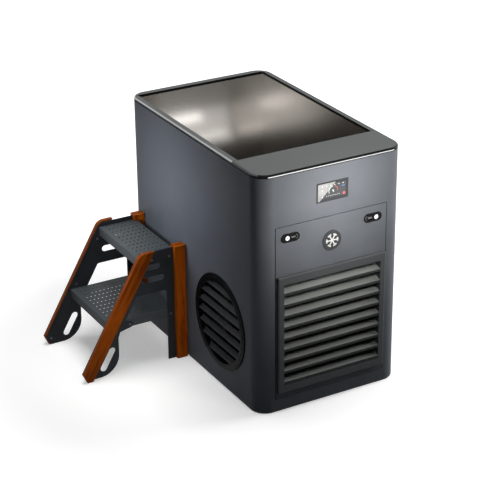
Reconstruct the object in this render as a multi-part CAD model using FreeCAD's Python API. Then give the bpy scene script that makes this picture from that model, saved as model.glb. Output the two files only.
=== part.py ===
"""Cold plunge tub with a built-in chiller, and its two-step stool, in millimetres.

The origin is the centre of the tub's footprint on the floor. The front faces -Y, +X runs to the right along
it and +Z is up. Distances called setbacks are measured inwards from the front face, and those called drops
are measured down from the top.
"""
import FreeCAD, Part
import math
import os

V = FreeCAD.Vector
ALONG_X = V(1, 0, 0)
ALONG_Y = V(0, 1, 0)
ALONG_Z = V(0, 0, 1)

# Tub envelope
tub_width = 678.0
tub_length = 1117.0
tub_height = 1050.0
corner_radius = 68.0

# Sheet, clearances and cut overrun
casing_sheet = 2.0
slip_gap = 0.3
running_gap = 0.06
bolt_gap = 0.1
overrun = 5.0
match_tolerance = 0.01

# Base and rim
base_thickness = 4.0
base_inset = 3.0
rim_thickness = 12.0
rim_chamfer = 5.0
side_rim_width = 27.0
back_rim_width = 35.0
deck_depth = 201.0
rim_seam = 1.5
seal_height = 3.0
seal_inset = 5.0
seal_width = 18.0
top_flange = 16.0

# Basin with a seat at the front and a well at the back
basin_wall = 3.0
rim_overhang = 2.0
seat_height = 560.0
seat_depth = 399.5
well_floor_height = 110.0

# Inner frame
frame_tube = 25.0
frame_side_inset = 1.0
frame_setback = 93.5

# Service door
door_margin = 80.0
door_bottom = 60.0
door_top_drop = 231.0
door_depth = 18.0
door_gap = 3.0
opening_return = 21.0
hinge_setback = 9.0
hinge_rise = 25.0
hinge_pin_radius = 4.0
hinge_pin_reach = 9.0
hinge_head_radius = 7.0
hinge_head_height = 4.0
gasket_thickness = 2.4
gasket_width = 10.0
gasket_setback = 5.0
gasket_rise = 50.0

# Grille on the door
grille_side_margin = 5.0
grille_bottom_rise = 27.0
grille_top_drop = 210.0
grille_raise = 15.0
grille_chamfer = 4.0
grille_side_band = 26.0
grille_end_band = 36.0
grille_collar_wall = 3.0
grille_collar_depth = 30.0
louvre_count = 9
louvre_depth = 43.0
louvre_drop = 12.5
louvre_lip = 12.0
louvre_sheet = 2.0
louvre_setback = 1.0
louvre_bottom_gap = 2.5

# Badge on the door
badge_radius = 43.5
badge_thickness = 4.0
badge_drop = 105.0
badge_chamfer = 1.0

# Latches on the door
latch_side_inset = 66.0
latch_drop = 49.0
latch_length = 85.0
latch_width = 38.0
latch_lip = 4.0
latch_raise = 3.0
latch_body_depth = 13.5
lock_offset = 14.5
lock_radius = 9.5
lock_raise = 2.0
key_slot_length = 9.0
key_slot_width = 2.0
key_slot_depth = 1.5
cam_clearance = 1.0
cam_thickness = 3.0
cam_reach = 68.0
cam_width = 16.0
grip_offset = 18.5
grip_length = 36.0
grip_width = 20.0
grip_depth = 3.0

# Display above the door
display_width = 147.0
display_height = 83.0
display_drop = 122.5
display_lip = 3.0
display_raise = 1.5
display_frame = 5.0
display_depth = 12.0
display_glass_thickness = 3.0
display_housing_inset = 2.0
display_housing_depth = 30.0

# Round vent in the left side
vent_setback = 316.5
vent_rise = 15.5
vent_outer_radius = 210.0
vent_inner_radius = 180.0
vent_collar_wall = 5.0
vent_collar_depth = 14.0
vent_raise = 8.0
vent_round = 4.0
vent_blade_count = 7
vent_blade_margin = 5.0
vent_blade_depth = 18.0
vent_blade_drop = 13.0
vent_blade_lip = 3.0
vent_blade_sheet = 2.0
vent_blade_setback = 4.0

# Condenser fan behind the vent
shroud_side = 380.0
shroud_sheet = 2.0
shroud_radius = 172.0
shroud_wall = 3.0
shroud_depth = 60.0
spider_arms = 3
spider_width = 14.0
spider_thickness = 4.0
motor_radius = 50.0
motor_length = 60.0
motor_cup_wall = 6.0
motor_cup_depth = 20.0
fan_tip_gap = 7.0
fan_hub_radius = 45.0
fan_hub_length = 48.0
fan_hub_setback = 5.0
fan_shaft_radius = 6.0
fan_shaft_depth = 26.0
fan_blade_count = 6
fan_blade_chord = 78.0
fan_blade_sheet = 3.0
fan_blade_pitch_deg = 30.0

# Condenser behind the grille
condenser_setback = 43.5
condenser_thickness = 45.0
condenser_side_gap = 8.0
condenser_rise = 56.0
condenser_top_gap = 20.0
condenser_end_sheet = 3.0

# Compressor
compressor_x = 60.0
compressor_setback = 228.5
compressor_radius = 75.0
compressor_body_rise = 26.0
compressor_body_height = 210.0
compressor_dome_height = 34.0
compressor_foot_radius = 12.0
compressor_foot_spread = 80.0
compressor_foot_sheet = 6.0

# Refrigerant lines
line_radius = 5.0
line_bend = 18.0
discharge_rise = 120.0
liquid_offset = 42.0
suction_offset = 40.0
suction_drop = 30.0
suction_lead = 30.0
suction_rise = 60.0
suction_port_offset = 22.0

# Water circuit
water_axis_height = 180.0
hose_radius = 14.0
hose_wall = 3.0
hose_bend = 45.0
hose_wall_gap = 8.0
fitting_tail = 25.0
fitting_flange_height = 6.0
fitting_tail_radius = 16.0
fitting_flange_radius = 40.0
fitting_bore_radius = 10.0
coupling_hose_length = 15.0
hose_run_drop = 80.0
pump_x = -20.0
pump_volute_radius = 62.0
pump_volute_length = 50.0
pump_motor_radius = 50.0
pump_motor_length = 130.0
pump_nozzle_length = 12.0
pump_outlet_length = 15.0
pump_foot_width = 90.0
exchanger_x = 190.0
exchanger_radius = 65.0
exchanger_length = 200.0
exchanger_saddle_width = 80.0
exchanger_saddle_length = 25.0
exchanger_saddle_inset = 30.0
exchanger_outlet_length = 15.0
exchanger_outlet_inset = 60.0

# Water filter in the upper front space
filter_x = 190.0
filter_bowl_radius = 55.0
filter_bowl_height = 210.0
filter_bowl_rise = 30.0
filter_bowl_round = 20.0
filter_gap = 75.0
filter_head_half = 65.0
filter_head_height = 60.0
filter_head_front = 63.0

# Drain
drain_x = 265.0
drain_height = 145.0
drain_hose_radius = 12.0
drain_flange_radius = 28.0
drain_tail_radius = 14.0
valve_radius = 20.0
valve_length = 50.0
valve_setback = 178.5
valve_elbow_setback = 158.5
valve_neck_radius = 8.0
valve_neck_height = 12.0
valve_spigot_raise = 12.0
lever_length = 90.0
lever_width = 16.0
lever_thickness = 6.0
lever_hub_radius = 11.0

# Control box and power inlet
control_width = 200.0
control_height = 200.0
control_depth = 118.0
control_x = -150.0
control_rise = 40.0
control_lid = 4.0
control_lid_margin = 6.0
inlet_setback = 408.5
inlet_height = 200.0
inlet_width = 60.0
inlet_tall = 50.0
inlet_lip = 6.0
inlet_raise = 2.0
inlet_depth = 25.0

# Step stool beside the left wall
stool_gap = 5.0
stool_vent_gap = 79.5
stool_inner_width = 382.0
stool_plate = 4.0
stool_wood = 18.5
post_width = 50.0
post_height = 534.0
rail_width = 57.7
rail_foot = 453.0
rail_angle_deg = 60.0
rail_round = 45.0
toe_height = 40.0
toe_cut = 18.0
plate_rear_inset = 2.0
plate_front_inset = 4.0
plate_drop = 6.0
plate_round = 40.0
leg_margin = 27.0
rear_leg_width = 83.0
arch_drop = 171.0
arch_round = 12.0
heel_reach = 319.0
heel_radius = 92.0
heel_height = 165.0
heel_slope_depth = 9.0
heel_slope_height = 26.0
tab_radius = 16.0
tab_root_height = 22.0
tread_sheet = 2.5
tread_flange = 40.0
upper_tread_drop = 26.0
upper_tread_rear = 36.0
upper_tread_depth = 177.0
lower_tread_height = 244.0
lower_tread_rear = 52.0
lower_tread_depth = 312.0
tread_hole_radius = 4.0
tread_hole_pitch_depth = 19.3
tread_hole_pitch_width = 32.7
tread_hole_front = 30.0
tread_hole_rear = 8.0
tread_hole_side = 10.0
slot_width = 28.0
upper_slot_drop = 51.0
upper_slot_rear = 111.0
upper_slot_length = 80.0
lower_slot_drop = 107.0
lower_slot_rear = 92.0
lower_slot_length = 112.0
heel_slot_width = 30.0
heel_slot_length = 114.0
heel_slot_depth = 372.5
heel_slot_height = 77.0
bolt_radius = 3.0
bolt_head_radius = 5.0
bolt_head_height = 3.0
bolt_end = 3.0
wood_bolt_bite = 12.0
tread_bolt_drop = 26.0
upper_bolt_drop = 18.0
tread_bolt_rear = 69.0
upper_bolt_front = 150.0
tab_bolt_depth = 263.0
rail_bolt_toe_height = 30.0
rail_bolt_lower_rise = 20.0
rail_bolt_upper_drop = 53.0
post_bolt_bottom = 60.0
post_bolt_drop = 29.0

# Tub positions that follow from the sizes above
half_width = tub_width / 2
half_length = tub_length / 2
front = -half_length
back = half_length
rim_bottom = tub_height - rim_thickness
casing_top = rim_bottom - seal_height
deck_edge = front + deck_depth
basin_half = half_width - side_rim_width + rim_overhang
basin_front = deck_edge - rim_overhang
basin_back = back - back_rim_width + rim_overhang
basin_outer = basin_half + basin_wall
riser_front = basin_front + seat_depth
riser_back = riser_front + basin_wall
seat_underside = seat_height - basin_wall
frame_outer = basin_outer - frame_side_inset
frame_inner = frame_outer - frame_tube
frame_front = front + frame_setback

# Door positions
door_half = half_width - door_margin
door_top = tub_height - door_top_drop
opening_half = door_half + door_gap
opening_bottom = door_bottom - door_gap
opening_top = door_top + door_gap
hinge_y = front + hinge_setback
hinge_z = door_bottom + hinge_rise
grille_half = door_half - grille_side_margin
grille_bottom = door_bottom + grille_bottom_rise
grille_top = door_top - grille_top_drop
grille_open_half = grille_half - grille_side_band
grille_open_bottom = grille_bottom + grille_end_band
grille_open_top = grille_top - grille_end_band
latch_x = door_half - latch_side_inset
latch_z = door_top - latch_drop
cam_front = front + opening_return + cam_clearance
display_z = tub_height - display_drop

# Machine positions
vent_y = front + vent_setback
vent_height = (base_thickness + seat_underside) / 2 + vent_rise
vent_back_x = -half_width + vent_collar_depth
shroud_back_x = vent_back_x + shroud_sheet + shroud_depth
condenser_front = front + condenser_setback
condenser_back = condenser_front + condenser_thickness
condenser_half = grille_open_half - condenser_side_gap
condenser_top = seat_underside - condenser_top_gap
compressor_y = front + compressor_setback
compressor_top = base_thickness + compressor_body_rise + compressor_body_height + compressor_dome_height
hose_start_y = riser_front - fitting_tail
coupling_y = hose_start_y - coupling_hose_length
pump_back = coupling_y - pump_nozzle_length
pump_outlet_y = pump_back - pump_volute_length / 2
exchanger_back = coupling_y - pump_nozzle_length
exchanger_front = exchanger_back - exchanger_length
exchanger_outlet_y = exchanger_front + exchanger_outlet_inset
hose_run_z = seat_height - hose_run_drop
hose_riser_y = basin_front - basin_wall - hose_wall_gap - hose_radius
filter_y = hose_riser_y - filter_gap
filter_bottom = seat_height + filter_bowl_rise
filter_head_bottom = filter_bottom + filter_bowl_height
valve_back_y = front + valve_setback + valve_length
valve_front_y = front + valve_setback
valve_elbow_y = front + valve_elbow_setback
lever_y = (valve_front_y + valve_back_y) / 2
lever_z = drain_height + valve_radius + valve_neck_height

# Stool positions
stool_rear = -half_width - stool_gap
stool_centre_y = vent_y + vent_outer_radius + stool_vent_gap + stool_wood + stool_plate + stool_inner_width / 2
near_inner = stool_centre_y - stool_inner_width / 2
far_inner = stool_centre_y + stool_inner_width / 2
near_outer = near_inner - stool_plate
far_outer = far_inner + stool_plate
upper_tread_height = post_height - upper_tread_drop
plate_height = post_height - plate_drop
arch_height = upper_tread_height - arch_drop
slope = math.tan(math.radians(rail_angle_deg))
slant = math.sin(math.radians(rail_angle_deg))


def span(half):
    """The limits of something centred on zero."""
    return (-half, half)


def box(x, y, z):
    """A box between pairs of limits along each axis."""
    return Part.makeBox(x[1] - x[0], y[1] - y[0], z[1] - z[0], V(x[0], y[0], z[0]))


def upright_edges(solid):
    """The edges of a solid that stand along Z."""
    found = []
    for edge in solid.Edges:
        ends = [vertex.Point for vertex in edge.Vertexes]
        if math.hypot(ends[0].x - ends[-1].x, ends[0].y - ends[-1].y) < match_tolerance:
            found.append(edge)
    return found


def rounded_prism(x, y, z, radius):
    """An upright prism on a rectangle with rounded corners."""
    block = box(x, y, z)
    return block.makeFillet(radius, upright_edges(block))


def shell_outline(inset, z):
    """The tub's outline, moved inwards by an inset, as a prism between two heights."""
    return rounded_prism(span(half_width - inset), span(half_length - inset), z, corner_radius - inset)


def rod(start, along, radius, length):
    """A cylinder from a centre point along a direction."""
    return Part.makeCylinder(radius, length, start, along)


def plate_yz(points, x):
    """A straight-sided YZ outline drawn out between two limits along X."""
    corners = [V(x[0], y, z) for y, z in points]
    face = Part.Face(Part.makePolygon(corners + corners[:1]))
    return face.extrude(V(x[1] - x[0], 0, 0))


def plate_xz(points, y):
    """A straight-sided XZ outline drawn out between two limits along Y."""
    corners = [V(x, y[0], z) for x, z in points]
    face = Part.Face(Part.makePolygon(corners + corners[:1]))
    return face.extrude(V(0, y[1] - y[0], 0))


def stadium_xz(centre_x, centre_z, length, width, y):
    """A round-ended bar lying along X, between two limits along Y."""
    reach = (length - width) / 2
    depth = y[1] - y[0]
    bar = box((centre_x - reach, centre_x + reach), y, (centre_z - width / 2, centre_z + width / 2))
    ends = [rod(V(centre_x + side * reach, y[0], centre_z), ALONG_Y, width / 2, depth) for side in (-1, 1)]
    return bar.multiFuse(ends).removeSplitter()


def edges_along_y(solid, places):
    """The edges of a solid that run along Y through the given XZ places."""
    found = []
    for edge in solid.Edges:
        ends = [vertex.Point for vertex in edge.Vertexes]
        for x, z in places:
            if all(math.hypot(end.x - x, end.z - z) < match_tolerance for end in ends):
                found.append(edge)
    return found


def edges_in_plane(solid, normal, offset):
    """The edges of a solid that lie in the plane at an offset along a normal."""
    found = []
    for edge in solid.Edges:
        if all(abs(vertex.Point.dot(normal) - offset) < match_tolerance for vertex in edge.Vertexes):
            found.append(edge)
    return found


def bent_rod(points, radius, bend):
    """A round bar along straight runs joined by tangent arcs of one radius."""
    corners = [V(*point) for point in points]
    edges = []
    start = corners[0]
    for before, corner, after in zip(corners, corners[1:], corners[2:]):
        towards = (before - corner).normalize()
        onwards = (after - corner).normalize()
        half_angle = towards.getAngle(onwards) / 2
        reach = bend / math.tan(half_angle)
        middle_way = (towards + onwards).normalize()
        first = corner + towards * reach
        middle = corner + middle_way * (bend / math.sin(half_angle) - bend)
        last = corner + onwards * reach
        edges.append(Part.LineSegment(start, first).toShape())
        edges.append(Part.Arc(first, middle, last).toShape())
        start = last
    edges.append(Part.LineSegment(start, corners[-1]).toShape())
    ring = Part.Wire(Part.makeCircle(radius, corners[0], corners[1] - corners[0]))
    return Part.Wire(edges).makePipeShell([ring], True, False)


def hose(points, radius):
    """A hollow hose along straight runs and tangent bends."""
    return bent_rod(points, radius, hose_bend).cut(bent_rod(points, radius - hose_wall, hose_bend))


def louvre_profile(outer, inner, top, drop, lip, sheet):
    """A blade's section from its top inner edge down to its outer edge and lip, as depth and height pairs."""
    way = 1 if inner > outer else -1
    fall = drop / abs(inner - outer)
    under = sheet * math.sqrt(1 + fall * fall)
    lip_inner = outer + way * sheet
    return [
        (inner, top),
        (outer, top - drop),
        (outer, top - drop - lip),
        (lip_inner, top - drop - lip),
        (lip_inner, top - drop + sheet * fall - under),
        (inner, top - under),
    ]


def basin_clearance(z):
    """The basin's plan with a slip gap round it, as a block between two heights."""
    edge = basin_wall + slip_gap
    return box(span(basin_half + edge), (basin_front - edge, basin_back + edge), z)


def tub_shell():
    """The base pan and the four casing panels of the tub."""
    far = tub_width + tub_length
    wall_z = (base_thickness, casing_top)
    wrap = shell_outline(0, wall_z).cut(shell_outline(casing_sheet, wall_z))
    flange_z = (casing_top - casing_sheet, casing_top)
    flange = shell_outline(0, flange_z).cut(shell_outline(top_flange, flange_z))
    wrap = wrap.fuse(flange.cut(basin_clearance(flange_z)))

    collar_half = opening_half + casing_sheet
    collar_z = (opening_bottom - casing_sheet, opening_top + casing_sheet)
    wrap = wrap.fuse(box(span(collar_half), (front, front + opening_return), collar_z))
    opening_y = (front - overrun, front + opening_return + overrun)
    cuts = [box(span(opening_half), opening_y, (opening_bottom, opening_top))]
    cuts.append(display_block(display_lip - slip_gap, (front - overrun, front + casing_sheet + overrun)))
    sheet_drill = casing_sheet + 2 * overrun
    pin_hole = hinge_pin_radius + bolt_gap
    pin_start = V(-collar_half - overrun, hinge_y, hinge_z)
    cuts.append(rod(pin_start, ALONG_X, pin_hole, 2 * (collar_half + overrun)))
    vent_hole = vent_inner_radius + vent_collar_wall + slip_gap
    cuts.append(rod(V(-half_width - overrun, vent_y, vent_height), ALONG_X, vent_hole, sheet_drill))
    spigot_hole = drain_hose_radius + slip_gap
    spigot_start = V(half_width - casing_sheet - overrun, valve_elbow_y, drain_height)
    cuts.append(rod(spigot_start, ALONG_X, spigot_hole, sheet_drill))
    inlet_x = (half_width - casing_sheet - overrun, half_width + overrun)
    cuts.append(inlet_block(inlet_lip - slip_gap, inlet_x))
    wrap = wrap.cut(Part.makeCompound(cuts))

    seam = half_width - corner_radius
    floor_z = (0, base_thickness)
    regions = {
        "casing_front": (span(seam), (-far, 0)),
        "casing_back": (span(seam), (0, far)),
        "casing_left": ((-far, -seam), span(far)),
        "casing_right": ((seam, far), span(far)),
    }
    pieces = {"base_pan": shell_outline(base_inset, floor_z)}
    for name, (x, y) in regions.items():
        pieces[name] = wrap.common(box(x, y, (0, tub_height))).removeSplitter()
    return pieces


def rim_ring():
    """The front deck, the three rim strips with mitred back corners, and the seal below them."""
    slab = shell_outline(0, (rim_bottom, tub_height))
    slab = slab.makeChamfer(rim_chamfer, edges_in_plane(slab, ALONG_Z, tub_height))
    inner_x = half_width - side_rim_width
    inner_back = back - back_rim_width
    through_z = (rim_bottom - overrun, tub_height + overrun)
    ring = slab.cut(box(span(inner_x), (deck_edge, inner_back), through_z))
    cutters = [box(span(half_width + overrun), (deck_edge, deck_edge + rim_seam), through_z)]
    for side in (-1, 1):
        towards = V(side * side_rim_width, back_rim_width, 0).normalize()
        across = V(-towards.y, towards.x, 0) * (rim_seam / 2)
        inside = V(side * inner_x, inner_back, through_z[0]) - towards * overrun
        outside = V(side * half_width, back, through_z[0]) + towards * overrun
        corners = [inside - across, outside - across, outside + across, inside + across]
        face = Part.Face(Part.makePolygon(corners + corners[:1]))
        cutters.append(face.extrude(V(0, 0, through_z[1] - through_z[0])))
    solids = ring.cut(Part.makeCompound(cutters)).Solids
    by_y = sorted(solids, key=lambda solid: solid.CenterOfMass.y)
    by_x = sorted(solids, key=lambda solid: solid.CenterOfMass.x)
    seal_z = (casing_top, rim_bottom)
    seal = shell_outline(seal_inset, seal_z)
    return {
        "front_deck": by_y[0],
        "rim_back": by_y[-1],
        "rim_left": by_x[0],
        "rim_right": by_x[-1],
        "rim_seal": seal.cut(shell_outline(seal_inset + seal_width, seal_z)).cut(basin_clearance(seal_z)),
    }


def basin():
    """The welded basin panels and the fittings through its riser."""
    between = span(basin_half)
    front_outer = basin_front - basin_wall
    back_outer = basin_back + basin_wall
    floor_bottom = well_floor_height - basin_wall
    side_outline = [
        (front_outer, rim_bottom),
        (front_outer, seat_underside),
        (riser_front, seat_underside),
        (riser_front, floor_bottom),
        (back_outer, floor_bottom),
        (back_outer, rim_bottom),
    ]
    fittings = [
        riser_fitting(pump_x, water_axis_height, fitting_flange_radius, fitting_tail_radius),
        riser_fitting(exchanger_x, water_axis_height, fitting_flange_radius, fitting_tail_radius),
        riser_fitting(drain_x, drain_height, drain_flange_radius, drain_tail_radius),
    ]
    holes = []
    for x, z, radius in (
        (pump_x, water_axis_height, fitting_tail_radius),
        (exchanger_x, water_axis_height, fitting_tail_radius),
        (drain_x, drain_height, drain_tail_radius),
    ):
        start = V(x, riser_front - overrun, z)
        holes.append(rod(start, ALONG_Y, radius + bolt_gap, basin_wall + 2 * overrun))
    riser = box(between, (riser_front, riser_back), (well_floor_height, seat_underside))
    return {
        "basin_front_wall": box(between, (front_outer, basin_front), (seat_height, rim_bottom)),
        "basin_seat": box(between, (front_outer, riser_back), (seat_underside, seat_height)),
        "basin_riser": riser.cut(Part.makeCompound(holes)),
        "basin_floor": box(between, (riser_front, back_outer), (floor_bottom, well_floor_height)),
        "basin_back_wall": box(between, (basin_back, back_outer), (well_floor_height, rim_bottom)),
        "basin_left_wall": plate_yz(side_outline, (-basin_outer, -basin_half)),
        "basin_right_wall": plate_yz(side_outline, (basin_half, basin_outer)),
        "basin_fittings": Part.makeCompound(fittings),
    }


def riser_fitting(x, z, flange_radius, tail_radius):
    """A hollow fitting with its flange in the well and its tail in the machine space."""
    tail = rod(V(x, riser_front - fitting_tail, z), ALONG_Y, tail_radius, fitting_tail + basin_wall)
    flange = rod(V(x, riser_back, z), ALONG_Y, flange_radius, fitting_flange_height)
    bore_start = V(x, riser_front - fitting_tail - overrun, z)
    bore_length = fitting_tail + basin_wall + fitting_flange_height + 2 * overrun
    return tail.fuse(flange).cut(rod(bore_start, ALONG_Y, fitting_bore_radius, bore_length)).removeSplitter()


def hidden_structure():
    """The foam boards round the basin and the welded frame that carries the seat and the deck."""
    board_x = (basin_outer + slip_gap, half_width - casing_sheet - slip_gap)
    board_top = casing_top - casing_sheet - slip_gap
    back_y = (basin_back + basin_wall + slip_gap, back - casing_sheet - slip_gap)
    flat_back = back - corner_radius
    side_board = [
        (basin_front - basin_wall, board_top),
        (basin_front - basin_wall, seat_underside),
        (riser_front, seat_underside),
        (riser_front, base_thickness),
        (flat_back, base_thickness),
        (flat_back, board_top),
    ]
    block_z = (base_thickness, well_floor_height - basin_wall)
    boards = [
        plate_yz(side_board, board_x),
        plate_yz(side_board, (-board_x[1], -board_x[0])),
        box(span(half_width - corner_radius), back_y, (base_thickness, board_top)),
        box(span(basin_half), (riser_front, basin_back), block_z),
    ]
    rail_z = (seat_underside - frame_tube, seat_underside)
    front_y = (frame_front, frame_front + frame_tube)
    rear_y = (riser_front - slip_gap - frame_tube, riser_front - slip_gap)
    members = [box(span(frame_inner), front_y, rail_z)]
    for x in ((-frame_outer, -frame_inner), (frame_inner, frame_outer)):
        members.append(box(x, front_y, (base_thickness, rim_bottom)))
        members.append(box(x, rear_y, (base_thickness, seat_underside)))
        members.append(box(x, (front_y[1], rear_y[0]), rail_z))
    return {
        "insulation_boards": Part.makeCompound(boards),
        "inner_frame": members[0].multiFuse(members[1:]).removeSplitter(),
    }


def display_block(inset, y):
    """The display's rectangle, moved inwards by an inset, between two limits along Y."""
    half = display_width / 2 - inset
    tall = display_height / 2 - inset
    return box(span(half), y, (display_z - tall, display_z + tall))


def display():
    """The display's frame, its glass and the housing behind it."""
    face_y = front - display_raise
    body_back = front + display_depth
    glass_back = face_y + display_glass_thickness
    bezel = display_block(0, (face_y, front)).fuse(display_block(display_lip, (front, body_back)))
    bezel = bezel.cut(display_block(display_frame, (face_y - overrun, body_back + overrun))).removeSplitter()
    housing_inset = display_frame + display_housing_inset
    return {
        "display_bezel": bezel,
        "display_glass": display_block(display_frame, (face_y, glass_back)),
        "display_housing": display_block(housing_inset, (glass_back, body_back + display_housing_depth)),
    }


def service_door():
    """The door's tray with its gasket, and the two hinge pins on the casing."""
    door_y = (front, front + door_depth)
    tray = box(span(door_half), door_y, (door_bottom, door_top))
    hollow_z = (door_bottom + casing_sheet, door_top - casing_sheet)
    tray = tray.cut(box(span(door_half - casing_sheet), (front + casing_sheet, door_y[1]), hollow_z))
    collar = grille_collar_wall + slip_gap
    through_y = (front - overrun, door_y[1] + overrun)
    collar_z = (grille_open_bottom - collar, grille_open_top + collar)
    cuts = [
        box(span(grille_open_half + collar), through_y, collar_z),
        rod(V(-half_width, hinge_y, hinge_z), ALONG_X, hinge_pin_radius + running_gap, tub_width),
    ]
    body_inset = latch_lip - slip_gap
    for side in (-1, 1):
        body = (latch_length - 2 * body_inset, latch_width - 2 * body_inset)
        cuts.append(stadium_xz(side * latch_x, latch_z, body[0], body[1], through_y))
    strip_y = (front + gasket_setback, front + gasket_setback + gasket_width)
    strip_z = (door_bottom + gasket_rise, door_top + gasket_thickness)
    strip = box(span(door_half + gasket_thickness), strip_y, strip_z)
    pins = []
    collar_face = opening_half + casing_sheet
    pin_end = door_half - hinge_pin_reach
    for side in (-1, 1):
        way = ALONG_X * side
        head = rod(V(side * collar_face, hinge_y, hinge_z), way, hinge_head_radius, hinge_head_height)
        shank = rod(V(side * pin_end, hinge_y, hinge_z), way, hinge_pin_radius, collar_face - pin_end)
        pins.append(head.fuse(shank).removeSplitter())
    return {
        "service_door": tray.cut(Part.makeCompound(cuts)),
        "door_gasket": strip.cut(box(span(door_half), strip_y, (strip_z[0], door_top))),
        "hinge_pins": Part.makeCompound(pins),
    }


def grille():
    """The raised grille frame and its louvre blades."""
    face_y = front - grille_raise
    frame = box(span(grille_half), (face_y, front), (grille_bottom, grille_top))
    frame = frame.makeChamfer(grille_chamfer, edges_in_plane(frame, ALONG_Y, face_y))
    wall = grille_collar_wall
    collar_y = (front, front + grille_collar_depth)
    collar_z = (grille_open_bottom - wall, grille_open_top + wall)
    frame = frame.fuse(box(span(grille_open_half + wall), collar_y, collar_z))
    through_y = (face_y - overrun, collar_y[1] + overrun)
    frame = frame.cut(box(span(grille_open_half), through_y, (grille_open_bottom, grille_open_top)))
    pitch = (grille_open_top - grille_open_bottom) / louvre_count
    outer = face_y + louvre_setback
    lowest_top = grille_open_bottom + louvre_bottom_gap + louvre_lip + louvre_drop
    blades = []
    for index in range(louvre_count):
        blade_top = lowest_top + index * pitch
        inner = outer + louvre_depth
        section = louvre_profile(outer, inner, blade_top, louvre_drop, louvre_lip, louvre_sheet)
        blades.append(plate_yz(section, span(grille_open_half)))
    return {"grille_frame": frame.removeSplitter(), "grille_louvres": Part.makeCompound(blades)}


def badge():
    """The round badge disc on the door."""
    face_y = front - badge_thickness
    disc = rod(V(0, face_y, door_top - badge_drop), ALONG_Y, badge_radius, badge_thickness)
    return {"door_badge": disc.makeChamfer(badge_chamfer, edges_in_plane(disc, ALONG_Y, face_y))}


def latches():
    """The two oval latch housings and the quarter-turn locks with their cams."""
    pieces = {}
    face_y = front - latch_raise
    housing_back = front + latch_body_depth
    cam_back = cam_front + cam_thickness
    for name, side in (("left", -1), ("right", 1)):
        centre = side * latch_x
        lock_x = side * (latch_x + lock_offset)
        housing = stadium_xz(centre, latch_z, latch_length, latch_width, (face_y, front))
        body = (latch_length - 2 * latch_lip, latch_width - 2 * latch_lip)
        housing = housing.fuse(stadium_xz(centre, latch_z, body[0], body[1], (front, housing_back)))
        grip_x = centre - side * grip_offset
        grip_y = (face_y, face_y + grip_depth)
        housing = housing.cut(stadium_xz(grip_x, latch_z, grip_length, grip_width, grip_y))
        bore = rod(V(lock_x, face_y - overrun, latch_z), ALONG_Y, lock_radius + running_gap, tub_width)
        pieces["latch_housing_" + name] = housing.cut(bore).removeSplitter()

        lock_face = face_y - lock_raise
        barrel = rod(V(lock_x, lock_face, latch_z), ALONG_Y, lock_radius, cam_back - lock_face)
        cam_x = (lock_x - cam_width / 2, lock_x + cam_width / 2)
        barrel = barrel.fuse(box(cam_x, (cam_front, cam_back), (latch_z - cam_reach, latch_z)))
        slot_x = (lock_x - key_slot_width / 2, lock_x + key_slot_width / 2)
        slot_z = (latch_z - key_slot_length / 2, latch_z + key_slot_length / 2)
        key_slot = box(slot_x, (lock_face, lock_face + key_slot_depth), slot_z)
        pieces["latch_lock_" + name] = barrel.cut(key_slot).removeSplitter()
    return pieces


def vent():
    """The round vent's ring and its blades."""
    face_x = -half_width - vent_raise
    ring = rod(V(face_x, vent_y, vent_height), ALONG_X, vent_outer_radius, vent_raise)
    ring = ring.makeFillet(vent_round, edges_in_plane(ring, ALONG_X, face_x))
    collar_radius = vent_inner_radius + vent_collar_wall
    ring = ring.fuse(rod(V(-half_width, vent_y, vent_height), ALONG_X, collar_radius, vent_collar_depth))
    bore_start = V(face_x - overrun, vent_y, vent_height)
    bore_length = vent_raise + vent_collar_depth + 2 * overrun
    ring = ring.cut(rod(bore_start, ALONG_X, vent_inner_radius, bore_length))
    keep = rod(bore_start, ALONG_X, vent_inner_radius - slip_gap, bore_length)
    outer = face_x + vent_blade_setback
    pitch = 2 * (vent_inner_radius - vent_blade_margin) / vent_blade_count
    blade_middle = (vent_blade_drop + vent_blade_lip) / 2
    first_top = vent_height + blade_middle + pitch * (vent_blade_count - 1) / 2
    blades = []
    for index in range(vent_blade_count):
        top = first_top - index * pitch
        inner = outer + vent_blade_depth
        section = louvre_profile(outer, inner, top, vent_blade_drop, vent_blade_lip, vent_blade_sheet)
        blade = plate_xz(section, (vent_y - vent_inner_radius, vent_y + vent_inner_radius))
        blades.append(blade.common(keep))
    return {"vent_ring": ring.removeSplitter(), "vent_blades": Part.makeCompound(blades)}


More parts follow.
